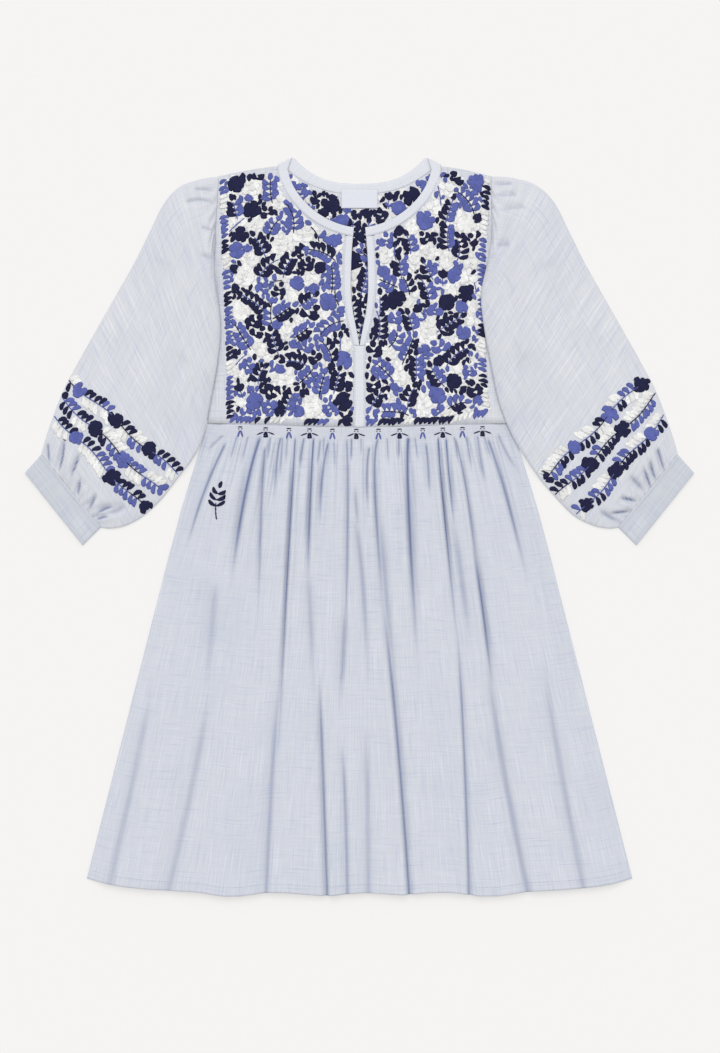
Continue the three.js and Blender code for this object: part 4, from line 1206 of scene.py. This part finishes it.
class Field:
    """An area to be stitched, in cells of one millimetre, with the tone that each already carries."""

    def __init__(self, low, high, inside, shares=(0.4, 0.35, 0.25)):
        self.shares = shares
        self.low = np.array(low, float)
        columns, rows = int(high[0] - low[0]), int(high[1] - low[1])
        x, y = np.meshgrid(low[0] + 0.5 + np.arange(columns), low[1] + 0.5 + np.arange(rows))
        self.inside = inside(x, y)
        self.tone = np.where(self.inside, BARE, OUTSIDE)
        self.leaves = []

    def cells(self, x, y):
        column = np.clip((x - self.low[0]).astype(int), 0, self.tone.shape[1] - 1)
        row = np.clip((y - self.low[1]).astype(int), 0, self.tone.shape[0] - 1)
        return row, column

    def taken(self, leaves):
        x, y, _, _ = leaf_outline(leaves, TEST)
        return (self.tone[self.cells(x, y)] != BARE).mean(axis=1)

    def outside(self, leaf):
        x, y, _, _ = leaf_outline([leaf], TEST)
        return (self.tone[self.cells(x, y)] == OUTSIDE).mean()

    def lay(self, leaf):
        x, y, _, _ = leaf_outline([leaf], COVER)
        self.tone[self.cells(x, y)] = leaf.tone
        self.leaves.append(leaf)

    def offer(self, leaves, most, own=0.4):
        """Lays a motif if little of it is taken or outside, without the leaves that don't fit."""
        taken = self.taken(leaves)
        if taken.mean() <= most:
            for leaf, share in zip(leaves, taken):
                if share < own:
                    self.lay(leaf)

    def free_place(self, rng):
        rows, columns = self.tone.shape
        for _ in range(PLACE_TRIES):
            row, column = rng.randrange(rows), rng.randrange(columns)
            if self.tone[row, column] == BARE:
                return column + self.low[0] + rng.random(), row + self.low[1] + rng.random()
        return None

    def tones_near(self, x, y, near):
        """How many cells of each tone lie round a place."""
        row, column = self.cells(np.array([x]), np.array([y]))
        r, c = int(row[0]), int(column[0])
        around_it = self.tone[max(0, r - near):r + near, max(0, c - near):c + near]
        return [np.count_nonzero(around_it == tone) for tone in (NAVY, BLUE, WHITE)]

    def choose_tone(self, x, y, rng):
        """The tone that is rarest round a place, against its share of the whole."""
        scores = [(count + 40) / share * rng.uniform(0.7, 1.3)
                  for count, share in zip(self.tones_near(x, y, LOOK_ROUND), self.shares)]
        return scores.index(min(scores))

    def tone_beside(self, x, y, rng):
        """The tone that is commonest close to a place, so that motifs join into clumps."""
        scores = [count * rng.uniform(0.7, 1.3) for count in self.tones_near(x, y, LOOK_CLOSE)]
        return scores.index(max(scores)) if max(scores) > 0 else self.choose_tone(x, y, rng)


# Length of one stitch of a stem and its height, and the length of the bare foot of a frond's stem
STEM_STITCH, STEM_RISE, FOOT = 5, 1.15, 4


def stem(x, y, heading, length, bend, tone, width=1.5):
    """A thin line of thread: short overlapping lengths along a bent path."""
    leaves = []
    steps = max(2, round(length / STEM_STITCH))
    step = length / steps
    for _ in range(steps):
        leaves.append(Leaf(x + math.cos(heading) * step / 2, y + math.sin(heading) * step / 2, heading,
                           step * 1.25, width, 0, 0, STEM_RISE, tone))
        x += math.cos(heading) * step
        y += math.sin(heading) * step
        heading += bend / steps
    return leaves


def outward(x, y, away, size, width, tone, taper=-0.25, bend=0.0, rise=1.0):
    """A leaf that starts at a place and points away from it."""
    return Leaf(x + math.cos(away) * size * 0.5, y + math.sin(away) * size * 0.5, away, size, width, taper,
                bend, rise, tone)


def frond(x, y, heading, length, bend, tones, rng, thread=None, leaf=13.0, width=6.8, pitch=6.5,
          spread=0.95, rise=1.0):
    """Curved leaves stacked along a stem. Each side has a tone of its own, or None where it is bare."""
    leaves = []
    if thread is not None:
        foot_x, foot_y = x - math.cos(heading) * FOOT, y - math.sin(heading) * FOOT
        leaves += stem(foot_x, foot_y, heading, length + FOOT, bend, thread)
    steps = max(2, round(length / pitch))
    for k in range(steps):
        for side, tone in zip((1, -1), tones):
            if tone is not None:
                size = leaf * (1.08 - 0.36 * k / steps) * rng.uniform(0.84, 1.14)
                leaves.append(outward(x, y, heading + side * spread * rng.uniform(0.88, 1.12), size,
                                      width * rng.uniform(0.88, 1.12), tone, bend=-side * 0.3, rise=rise))
        step = pitch * rng.uniform(0.9, 1.08)
        x += math.cos(heading) * step
        y += math.sin(heading) * step
        heading += bend / steps
    tip = tones[1] if tones[0] is None else tones[0]
    leaves.append(outward(x, y, heading, leaf * 0.75, width, tip, taper=0.2, rise=rise))
    return leaves


def blossom(x, y, radius, lobes, tone, rng, rise=1.0):
    """An uneven flower in one thread: fat lobes of different sizes round a full middle."""
    leaves = []
    turn = rng.uniform(0, 2 * math.pi)
    for k in range(lobes):
        away = turn + (k + rng.uniform(-0.22, 0.22)) * 2 * math.pi / lobes
        size = radius * rng.uniform(0.76, 1.16)
        width = 5.4 * radius / lobes * rng.uniform(0.75, 1.15)
        leaves.append(outward(x + math.cos(away) * size * 0.12, y + math.sin(away) * size * 0.12, away,
                              size * 0.88, width, tone, -0.35, rng.uniform(-0.2, 0.2), rise))
    leaves.append(Leaf(x, y, turn, radius * 1.1, radius * 0.95, 0, 0, rise * 1.06, tone))
    return leaves


def tulip(x, y, heading, size, tone, thread, rng):
    """Three fat lobes on a stem with two small leaves."""
    leaves = stem(x, y, heading + math.pi + rng.uniform(-0.3, 0.3), rng.uniform(8, 15),
                  rng.uniform(-0.7, 0.7), thread)
    foot = leaves[-1]
    for side in (1, -1):
        leaves.append(outward(foot.x, foot.y, heading + side * 0.8, size * 0.62, 4.2, thread,
                              bend=-side * 0.2))
    for turn, part in ((-0.55, 0.92), (0.0, 1.0), (0.55, 0.92)):
        leaves.append(outward(x, y, heading + turn, size * part, size * 0.5, tone, -0.4))
    leaves.append(outward(x, y, heading, size * 0.7, size * 0.66, tone, -0.2))
    return leaves


def twig(x, y, heading, length, bend, tone, tip, rng):
    """A thin bent stem with a few small leaves by turns and a round bud at its end."""
    leaves = stem(x, y, heading, length, bend, tone)
    for k, part in enumerate(leaves[1::2]):
        side = 1 if k % 2 else -1
        leaves.append(outward(part.x, part.y, part.angle + side * 0.85, rng.uniform(6.5, 8.5), 4.2, tone,
                              bend=-side * 0.2))
    end = leaves[max(1, round(length / STEM_STITCH)) - 1]
    leaves.append(outward(end.x, end.y, end.angle, 8, 7, tip, taper=-0.2))
    return leaves


# Ladders along the front yoke's borders: the line, the side to which the leaves lean, how far, and their size
Ladder = namedtuple("Ladder", "line leaning spread leaf")
LADDERS = [Ladder(*row) for row in (
    (((-171, 446), (-168, 360), (-163, 262), (-161, 134)), -1, 1.2, 11.5),
    (((160, 440), (153, 345), (153, 195), (159, 142)), 1, 1.2, 11.5),
    (((-160, 134), (-60, 130.5), (-9, 130)), 1, 0.8, 12),
    (((9, 130), (110, 133), (157, 142)), 1, 0.8, 12),
)]


def edge_ladder(field, ladder, rng):
    """Short one-sided ladders in changing tones along the field's border, their leaves spread from it."""
    line = np.array(ladder.line, float)
    starts = np.concatenate([[0], np.cumsum(np.hypot(*np.diff(line, axis=0).T))])
    bend = -0.28 * ladder.leaning

    def spot(distance):
        return [np.interp(distance, starts, line[:, k]) for k in range(2)]

    along, order = 3.0, 0
    while along < starts[-1] - 8:
        run = rng.uniform(8, 30)
        tone = (BLUE, NAVY, WHITE)[order % 3] if rng.random() < 0.6 else rng.randrange(3)
        order += 1
        end = min(along + run, starts[-1])
        while along < end:
            x, y = spot(along)
            next_x, next_y = spot(along + 1)
            lean = ladder.leaning * ladder.spread * rng.uniform(0.8, 1.2)
            heading = math.atan2(next_y - y, next_x - x) + lean
            size = ladder.leaf * rng.uniform(0.85, 1.2)
            field.offer([Leaf(x, y, heading, size, rng.uniform(4.8, 6.2), -0.2, bend, 1.0, tone)], 0.4)
            along += rng.uniform(5.2, 6.6)
        along += rng.uniform(0, 3)


def make_motif(kind, x, y, tone, rng):
    """One motif at a place, most of them upright. White ones are padded wider, as satin stitch is."""
    turn = math.pi / 2 + rng.gauss(0, 0.6)
    other = rng.choice([one for one in (NAVY, BLUE) if one != tone] + [tone, tone])
    thread = rng.choice([one for one in (NAVY, BLUE) if one != tone])
    white = tone == WHITE
    if white and rng.random() < 0.7:
        thread = None
    sizes = {"leaf": 14.5, "width": 7.6, "pitch": 6.4, "rise": 0.6} if white else {}
    if kind == "frond":
        tones = (tone, tone if white else other)
        return frond(x, y, turn, rng.uniform(18, 36), rng.uniform(-1, 1), tones, rng, thread, **sizes)
    if kind == "half frond":
        tones = (tone, None) if rng.random() < 0.5 else (None, tone)
        return frond(x, y, turn, rng.uniform(14, 28), rng.uniform(-1, 1), tones, rng, thread, **sizes)
    if kind == "cluster":
        leaf = rng.uniform(10, 13.5) * (1.15 if white else 1)
        return frond(x, y, turn, rng.uniform(7, 14), rng.uniform(-1.2, 1.2), (tone, tone), rng, leaf=leaf,
                     width=leaf * 0.64, pitch=leaf * 0.48, spread=rng.uniform(0.8, 1.3),
                     rise=0.6 if white else 1.0)
    thread = thread or WHITE
    if kind == "blossom":
        return blossom(x, y, rng.uniform(10, 13.5) * (1.1 if white else 1), rng.randint(5, 7), tone, rng,
                       0.62 if white else 1.0)
    if kind == "tulip":
        return tulip(x, y, turn, rng.uniform(10, 13.5), tone, thread, rng)
    if kind == "twig":
        return twig(x, y, turn, rng.uniform(16, 28), rng.uniform(-0.9, 0.9), thread, tone, rng)
    if kind == "small blossom":
        return blossom(x, y, rng.uniform(6.5, 8.5), rng.randint(4, 6), tone, rng, 0.62 if white else 1.0)
    size = rng.uniform(7.5, 11) * (1.3 if white else 1)
    return [Leaf(x, y, turn, size, size * rng.uniform(0.5, 0.66), -0.2, rng.uniform(-0.2, 0.2),
                 0.55 if white else 0.95, tone)]


# The order in which the field is filled: motif, tries in a field of FULL_FIELD square millimetres, most of
# it that may already be taken, most of one leaf that may be, and how often it takes the tone beside it
FULL_FIELD = 88000
FILLING = (
    ("frond", 110, 0.06, 0.3, 0.0),
    ("blossom", 90, 0.06, 0.3, 0.0),
    ("cluster", 240, 0.08, 0.35, 0.0),
    ("frond", 200, 0.12, 0.35, 0.0),
    ("tulip", 120, 0.12, 0.4, 0.1),
    ("twig", 60, 0.14, 0.4, 0.1),
    ("blossom", 160, 0.14, 0.4, 0.1),
    ("cluster", 600, 0.18, 0.4, 0.3),
    ("half frond", 800, 0.2, 0.45, 0.4),
    ("small blossom", 500, 0.22, 0.45, 0.5),
    ("cluster", 1000, 0.27, 0.5, 0.6),
    ("leaf", 2800, 0.36, 0.5, 0.9),
)


def fill_field(field, rng):
    """Packs fronds, flowers, buds and single leaves into the field, the large ones first."""
    share = field.inside.sum() / FULL_FIELD
    for kind, tries, most, own, joining in FILLING:
        for _ in range(int(tries * share)):
            spot = field.free_place(rng)
            if spot is None:
                return
            choose = field.tone_beside if rng.random() < joining else field.choose_tone
            field.offer(make_motif(kind, *spot, choose(*spot, rng), rng), most, own)


# Cells between the rows of the white ground, and between the leaves of a row
GROUND_ROWS, GROUND_COLUMNS = 5, 7


def white_ground(field, rng):
    """Low white leaves, laid in bent rows, that fill what the motifs leave bare."""
    leaves = []
    for row in range(0, field.tone.shape[0], GROUND_ROWS):
        for column in range((row // GROUND_ROWS) % 2 * 3, field.tone.shape[1], GROUND_COLUMNS):
            around_it = field.tone[max(0, row - 2):row + 3, max(0, column - 3):column + 4]
            if (around_it == BARE).mean() < 0.12:
                continue
            x = column + field.low[0] + rng.uniform(-0.8, 0.8)
            y = row + field.low[1] + rng.uniform(-0.8, 0.8)
            angle = 0.8 * math.sin(x / 31) + 0.9 * math.cos(y / 27) + rng.uniform(-0.2, 0.2)
            leaf = Leaf(x, y, angle, rng.uniform(9, 12), rng.uniform(5.6, 6.8), 0, 0.3, 0.3, WHITE)
            if field.outside(leaf) < 0.28:
                leaves.append(leaf)
    return leaves


# How far stitching stays clear of the bands
CLEAR = 1.2


def field_foot(x):
    """Bottom of the stitched area of the yoke, across it."""
    return np.interp(x, (-168, -60, 20, 110, 160), (130.5, 126.5, 126, 129, 138))


def inside_front_field(x, y):
    left = np.interp(y, (130, 190, 260, 360, 450), (-167, -165, -168, -173.5, -176))
    right = np.interp(y, (130, 150, 195, 345, 370, 450), (161, 164, 158, 157, 158.5, 164))
    top, foot = SLIT[0].y, SLIT[-1].y
    binding = read(SLIT, np.clip(y, foot, top), 2)
    middle = np.where(y < foot, STRIP_HALF, binding) + CLEAR
    return ((x > left) & (x < right) & (y > field_foot(x)) & (y < shoulder_y(x) - 1.5)
            & ((np.abs(x) > middle) | (y >= top + 4)) & ~inside_neck(x, y, BAND_WIDTH + CLEAR))


def inside_back_field(x, y):
    return (x > -read(YOKE_SIDE["left"], y) + 13) & (x < read(YOKE_SIDE["right"], y) - 9) & (
        y < back_top_y(x) - 2) & (y > field_foot(x))


def inside_seen_back(x, y):
    """The part of the back yoke that shows inside the neck and in the slit, but for the label."""
    in_slit = (np.abs(x) < 24) & (y > 216) & (y < 380)
    label = (np.abs(x) < 24) & (y > 396.5)
    return inside_back_field(x, y) & (inside_neck(x, y, 8) | in_slit) & ~label


class DRESS_OT_yoke_stitching(bpy.types.Operator):
    """Covers the yoke, front and back, in leaf sprigs, flowers and buds in three threads"""
    bl_idname = "dress.yoke_stitching"
    bl_label = "Yoke Stitching"

    def execute(self, context):
        rng = random.Random(context.scene.dress_stitches.seed)
        front = Field((-180, 122), (170, 458), inside_front_field)
        for ladder in LADDERS:
            edge_ladder(front, ladder, rng)
        fill_field(front, rng)
        leaves = front.leaves + white_ground(front, rng)
        for side, sign in zip(SIDES, (-1, 1)):
            own = [leaf for leaf in leaves if leaf.x * sign > 0]
            stitched_piece(f"stitching_yoke_front_{side}", own, f"cloth_yoke_front_{side}")
        seen = Field((-120, 210), (120, 440), inside_seen_back, (0.52, 0.32, 0.16))
        fill_field(seen, rng)
        leaves = seen.leaves + white_ground(seen, rng)
        stitched_piece("stitching_yoke_inside", leaves, "cloth_yoke_back")
        back = Field((-180, 122), (180, 458), inside_back_field)
        fill_field(back, rng)
        flat = [leaf._replace(rise=leaf.rise * 0.7) for leaf in back.leaves + white_ground(back, rng)]
        stitched_piece("stitching_yoke_back", flat, "cloth_yoke_back", downwards=True,
                       sides=8, rings=LOW_DOME)
        return {"FINISHED"}


# Threads of the leaves on both sides of a vine's stem
VINE_TONES = ((BLUE, NAVY), (BLUE, WHITE), (NAVY, WHITE), (WHITE, NAVY), (WHITE, BLUE), (NAVY, BLUE))


def vine(start, end, rng, phase):
    """One row: a swinging stem with leaves close together on both sides, and flowers between them."""
    start, end = np.array(start, float), np.array(end, float)
    length = float(np.hypot(*(end - start)))
    base = math.atan2(*(end - start)[::-1])
    normal = np.array([-math.sin(base), math.cos(base)])
    swing = rng.uniform(0, 6)

    def spot(distance):
        return start + (end - start) * distance / length + normal * 2.6 * math.sin(distance / 15 + swing)

    def bearing(distance):
        ahead = spot(distance + 2) - spot(distance - 2)
        return math.atan2(ahead[1], ahead[0])

    leaves = []
    along, item = rng.uniform(-4, 0), phase
    while along < length:
        if item % 3 == 1:
            radius = rng.uniform(9.5, 12)
            tone = rng.choice((NAVY, BLUE))
            leaves += blossom(*spot(along + radius - 3), radius, rng.randint(6, 8), tone, rng)
            along += 2 * radius - 5
        else:
            run = rng.uniform(14, 26)
            thread = rng.choice((NAVY, BLUE, BLUE))
            for at in np.arange(along - 3, along + run, 4.4):
                leaves.append(Leaf(*spot(at), bearing(at), 6.4, 1.4, 0, 0, STEM_RISE, thread))
            for side, tone in zip((1, -1), rng.choice(VINE_TONES)):
                pitch, wide, long = (5.8, 7.0, 15) if tone == WHITE else (7.0, 6.2, 12.4)
                for at in np.arange(along + rng.uniform(0, 2), along + run - 2, pitch):
                    away = bearing(at) + side * rng.uniform(1.0, 1.3)
                    leaves.append(outward(*spot(at), away, rng.uniform(0.9, 1.1) * long, wide, tone, -0.3,
                                          -side * 0.2, 0.6 if tone == WHITE else 0.95))
            along += run + 1
        item += 1
    return leaves


class DRESS_OT_sleeve_stitching(bpy.types.Operator):
    """Lays three rows of stitched vine round each sleeve above its cuff"""
    bl_idname = "dress.sleeve_stitching"
    bl_label = "Sleeve Stitching"

    def execute(self, context):
        rng = random.Random(context.scene.dress_stitches.seed + 1)
        for side, rows in VINES.items():
            for layer in ("upper", "under"):
                leaves = []
                for k, (start, end) in enumerate(rows):
                    leaves += vine(start, end, rng, k)
                low = layer == "under"
                if low:
                    leaves = [leaf._replace(rise=leaf.rise * 0.6) for leaf in leaves]
                stitched_piece(f"stitching_sleeve_{side}_{layer}", leaves, f"cloth_sleeve_{side}",
                               downwards=low, rings=LOW_DOME if low else ROUND_DOME)
        return {"FINISHED"}


# Places of the small figures along the smocked strip, and how far they lie under the waist seam
FIGURES = (-148.8, -117.1, -88.1, -62.4, -33.8, -4, 23.6, 50, 78.9, 103.9, 128.4, 153.4)
FIGURES_DOWN = 9.4
SPRIG_ON_SKIRT = (-178, 33)
SPRIG_SEED = 3

# The figures' stitches: place in the figure, angle, length, width, taper, rise and thread. Both figures have
# a bar over two dots. One stands on two legs, and the other has a body with two slanting arms.
UPRIGHT = math.pi / 2
HEAD = (
    (0, 6.6, 0, 6.4, 1.7, 0, 0.6, NAVY),
    (-2, 4.2, 0, 1.7, 1.6, 0, 0.6, NAVY),
    (2, 4.2, 0, 1.7, 1.6, 0, 0.6, NAVY),
)
ON_LEGS = HEAD + (
    (-2.1, -2.6, UPRIGHT - 0.3, 8, 2.5, -0.2, 0.6, BLUE),
    (2.1, -2.6, UPRIGHT + 0.3, 8, 2.5, -0.2, 0.6, BLUE),
    (0, 1.2, 0, 4.4, 2.2, 0, 0.6, BLUE),
)
WITH_ARMS = HEAD + (
    (-1.3, -1.6, UPRIGHT - 0.28, 7.6, 3, -0.3, 0.7, NAVY),
    (-6.8, -0.2, 0.36, 9.8, 1.8, 0, 0.6, NAVY),
    (1.3, -1.6, UPRIGHT + 0.28, 7.6, 3, -0.3, 0.7, NAVY),
    (6.8, -0.2, -0.36, 9.8, 1.8, 0, 0.6, NAVY),
    (0, -4.3, 0, 6.6, 2.6, 0, 0.7, NAVY),
)


def figure(x, y, figure_stitches):
    return [Leaf(x + across, y + up, angle, length, width, taper, 0, rise, tone)
            for across, up, angle, length, width, taper, rise, tone in figure_stitches]


class DRESS_OT_small_stitching(bpy.types.Operator):
    """Adds the row of small figures under the waist seam and the leaf sprig on the skirt"""
    bl_idname = "dress.small_stitching"
    bl_label = "Figures and Sprig"

    def execute(self, context):
        leaves = []
        for order, x in enumerate(FIGURES):
            leaves += figure(x, waist_y(x / WAIST_HALF) - FIGURES_DOWN, WITH_ARMS if order % 2 else ON_LEGS)
        stitched_piece("stitching_waist_figures", leaves, "cloth_skirt_front")
        x, y = SPRIG_ON_SKIRT
        leaves = stem(x, y - 24, UPRIGHT + 0.15, 20, -0.3, NAVY, 1.8)
        leaves += frond(x - 1, y - 8, UPRIGHT - 0.1, 24, -0.25, (NAVY, NAVY), random.Random(SPRIG_SEED),
                        leaf=12.5, width=5, pitch=8)
        stitched_piece("stitching_skirt_sprig", leaves, "cloth_skirt_front")
        return {"FINISHED"}


def seam_stitches(places, pitch=3.2):
    """Small straight stitches along a line in plan."""
    places = np.array(places, float)
    starts = np.concatenate([[0], np.cumsum(np.hypot(*np.diff(places, axis=0).T))])
    x, y = (np.interp(np.arange(1.0, starts[-1], pitch), starts, places[:, k]) for k in range(2))
    heading = np.arctan2(np.gradient(y), np.gradient(x))
    return [Leaf(a, b, c, 2.2, 0.8, 0, 0, 0.4, SEAM) for a, b, c in zip(x, y, heading)]


def seam_lines():
    """Each line of seam stitches on the upper side: its name, the cloth that carries it and its places."""
    across = np.linspace(-0.985, 0.985, 120)
    hem = skirt_plan(across, np.full_like(across, 1 - (HEM_DEPTH - 1) / SKIRT_LENGTH))
    yield "hem", "cloth_skirt_front", [np.column_stack(hem)]
    angles = np.linspace(0.3, 1.42, 40)
    half_slit = [(-row.seam + 1.6, row.y) for row in SLIT]
    for side, sign in zip(SIDES, (-1, 1)):
        mirrored = np.array([-sign, 1])
        cuff = [[mix(np.array(seam), np.array(end), share) for seam, end in zip(CUFF_SEAM, CUFF_END)]
                for share in (0.08, 0.92)]
        yield f"cuff_{side}", f"cloth_cuff_{side}", [np.array(line) * (sign, 1) for line in cuff]
        band = np.column_stack(neckline(angles, BAND_WIDTH - 1.7))
        yield f"neckband_{side}", f"cloth_neckband_front_{side}", [band * mirrored]
        yield f"binding_{side}", f"cloth_slit_binding_{side}", [np.array(half_slit) * mirrored]
    strip = [np.array([(x, SLIT[-1].y - 3), (x, WAIST_SIDE_Y - WAIST_DIP + 1)]) for x in (-5.4, 5.4)]
    yield "strip", "cloth_front_strip", strip


class DRESS_OT_seams(bpy.types.Operator):
    """Runs small stitches along the hem, the cuffs, the neckband, the bindings and the strip"""
    bl_idname = "dress.seams"
    bl_label = "Seam Stitches"

    def execute(self, context):
        for name, cloth, lines in seam_lines():
            leaves = [leaf for line in lines for leaf in seam_stitches(line)]
            stitched_piece(f"stitching_seam_{name}", leaves, cloth, sides=6, rings=LOW_DOME)
        return {"FINISHED"}


# The floor's half width and how far it lies under the dress, where the camera hangs across the dress, and
# where the key light shines from, in metres
FLOOR_HALF, FLOOR_DROP = 30, 0.0002
CAMERA_X = 0.0006
KEY_PLACE = (-0.1, 1.2, 2.4)


def lay_floor(stage):
    grid = bmesh.new()
    bmesh.ops.create_grid(grid, x_segments=1, y_segments=1, size=FLOOR_HALF)
    bmesh.ops.translate(grid, verts=grid.verts, vec=(0, 0, -FLOOR_DROP))
    mesh = bpy.data.meshes.new("stage_floor")
    grid.to_mesh(mesh)
    grid.free()
    floor = bpy.data.objects.new("stage_floor", mesh)
    bpy.context.scene.collection.objects.link(floor)
    pale = srgb(stage.floor)
    shadowed = [c * (1 - stage.floor_glow) for c in pale[:3]] + [1]
    new_material("floor", Base_Color=shadowed, Emission_Color=pale, Emission_Strength=stage.floor_glow,
                 Roughness=0.95, Specular_IOR_Level=0.0)
    mesh.materials.append(bpy.data.materials["floor"])


def hang_camera(stage):
    data = bpy.data.cameras.new("camera")
    data.sensor_width = 36
    data.lens = data.sensor_width * stage.camera_height / stage.frame_height
    camera = bpy.data.objects.new("camera", data)
    camera.location = (CAMERA_X, 0, stage.camera_height)
    bpy.context.scene.collection.objects.link(camera)
    bpy.context.scene.camera = camera


def set_lights(stage):
    data = bpy.data.lights.new("key", "SUN")
    data.angle = math.radians(40)
    data.energy = stage.key_strength
    key = bpy.data.objects.new("key", data)
    key.location = KEY_PLACE
    key.rotation_mode = "QUATERNION"
    key.rotation_quaternion = (-key.location).to_track_quat("-Z", "Y")
    bpy.context.scene.collection.objects.link(key)
    world = bpy.data.worlds.new("studio")
    world.use_nodes = True
    background = world.node_tree.nodes["Background"]
    background.inputs["Color"].default_value = (1.0, 0.995, 0.99, 1)
    background.inputs["Strength"].default_value = stage.fill_strength
    bpy.context.scene.world = world


class DRESS_OT_stage(bpy.types.Operator):
    """Sets the plain pale floor, the camera straight above and the soft light"""
    bl_idname = "dress.stage"
    bl_label = "Stage"

    def execute(self, context):
        stage = context.scene.dress_stage
        lay_floor(stage)
        hang_camera(stage)
        set_lights(stage)
        context.scene.view_settings.view_transform = "Standard"
        return {"FINISHED"}


PIECES = (
    DRESS_OT_stage, DRESS_OT_yoke, DRESS_OT_bands, DRESS_OT_skirt, DRESS_OT_sleeves, DRESS_OT_yoke_stitching,
    DRESS_OT_sleeve_stitching, DRESS_OT_small_stitching, DRESS_OT_seams,
)


class DRESS_PT_sidebar(bpy.types.Panel):
    """Lists the sizes, the colours and the steps"""
    bl_idname = "DRESS_PT_sidebar"
    bl_label = "Embroidered Mini Dress"
    bl_space_type = "VIEW_3D"
    bl_region_type = "UI"
    bl_category = "Dress"

    def draw(self, context):
        for name in SETTINGS:
            settings = getattr(context.scene, name)
            box = self.layout.box()
            for key in settings.bl_rna.properties.keys():
                if key not in ("name", "rna_type"):
                    box.prop(settings, key)
        for piece in PIECES:
            self.layout.operator(piece.bl_idname)


SETTINGS = {
    "dress_cloth": ClothSettings,
    "dress_folds": FoldSettings,
    "dress_stitches": StitchSettings,
    "dress_stage": StageSettings,
}


def register():
    for group in (*SETTINGS.values(), *PIECES, DRESS_PT_sidebar):
        bpy.utils.register_class(group)
    for name, group in SETTINGS.items():
        setattr(bpy.types.Scene, name, PointerProperty(type=group))


def unregister():
    for name in SETTINGS:
        delattr(bpy.types.Scene, name)
    for group in reversed((*SETTINGS.values(), *PIECES, DRESS_PT_sidebar)):
        bpy.utils.unregister_class(group)


def main():
    register()
    for piece in PIECES:
        space, name = piece.bl_idname.split(".")
        getattr(getattr(bpy.ops, space), name)()


if __name__ == "__main__":
    main()
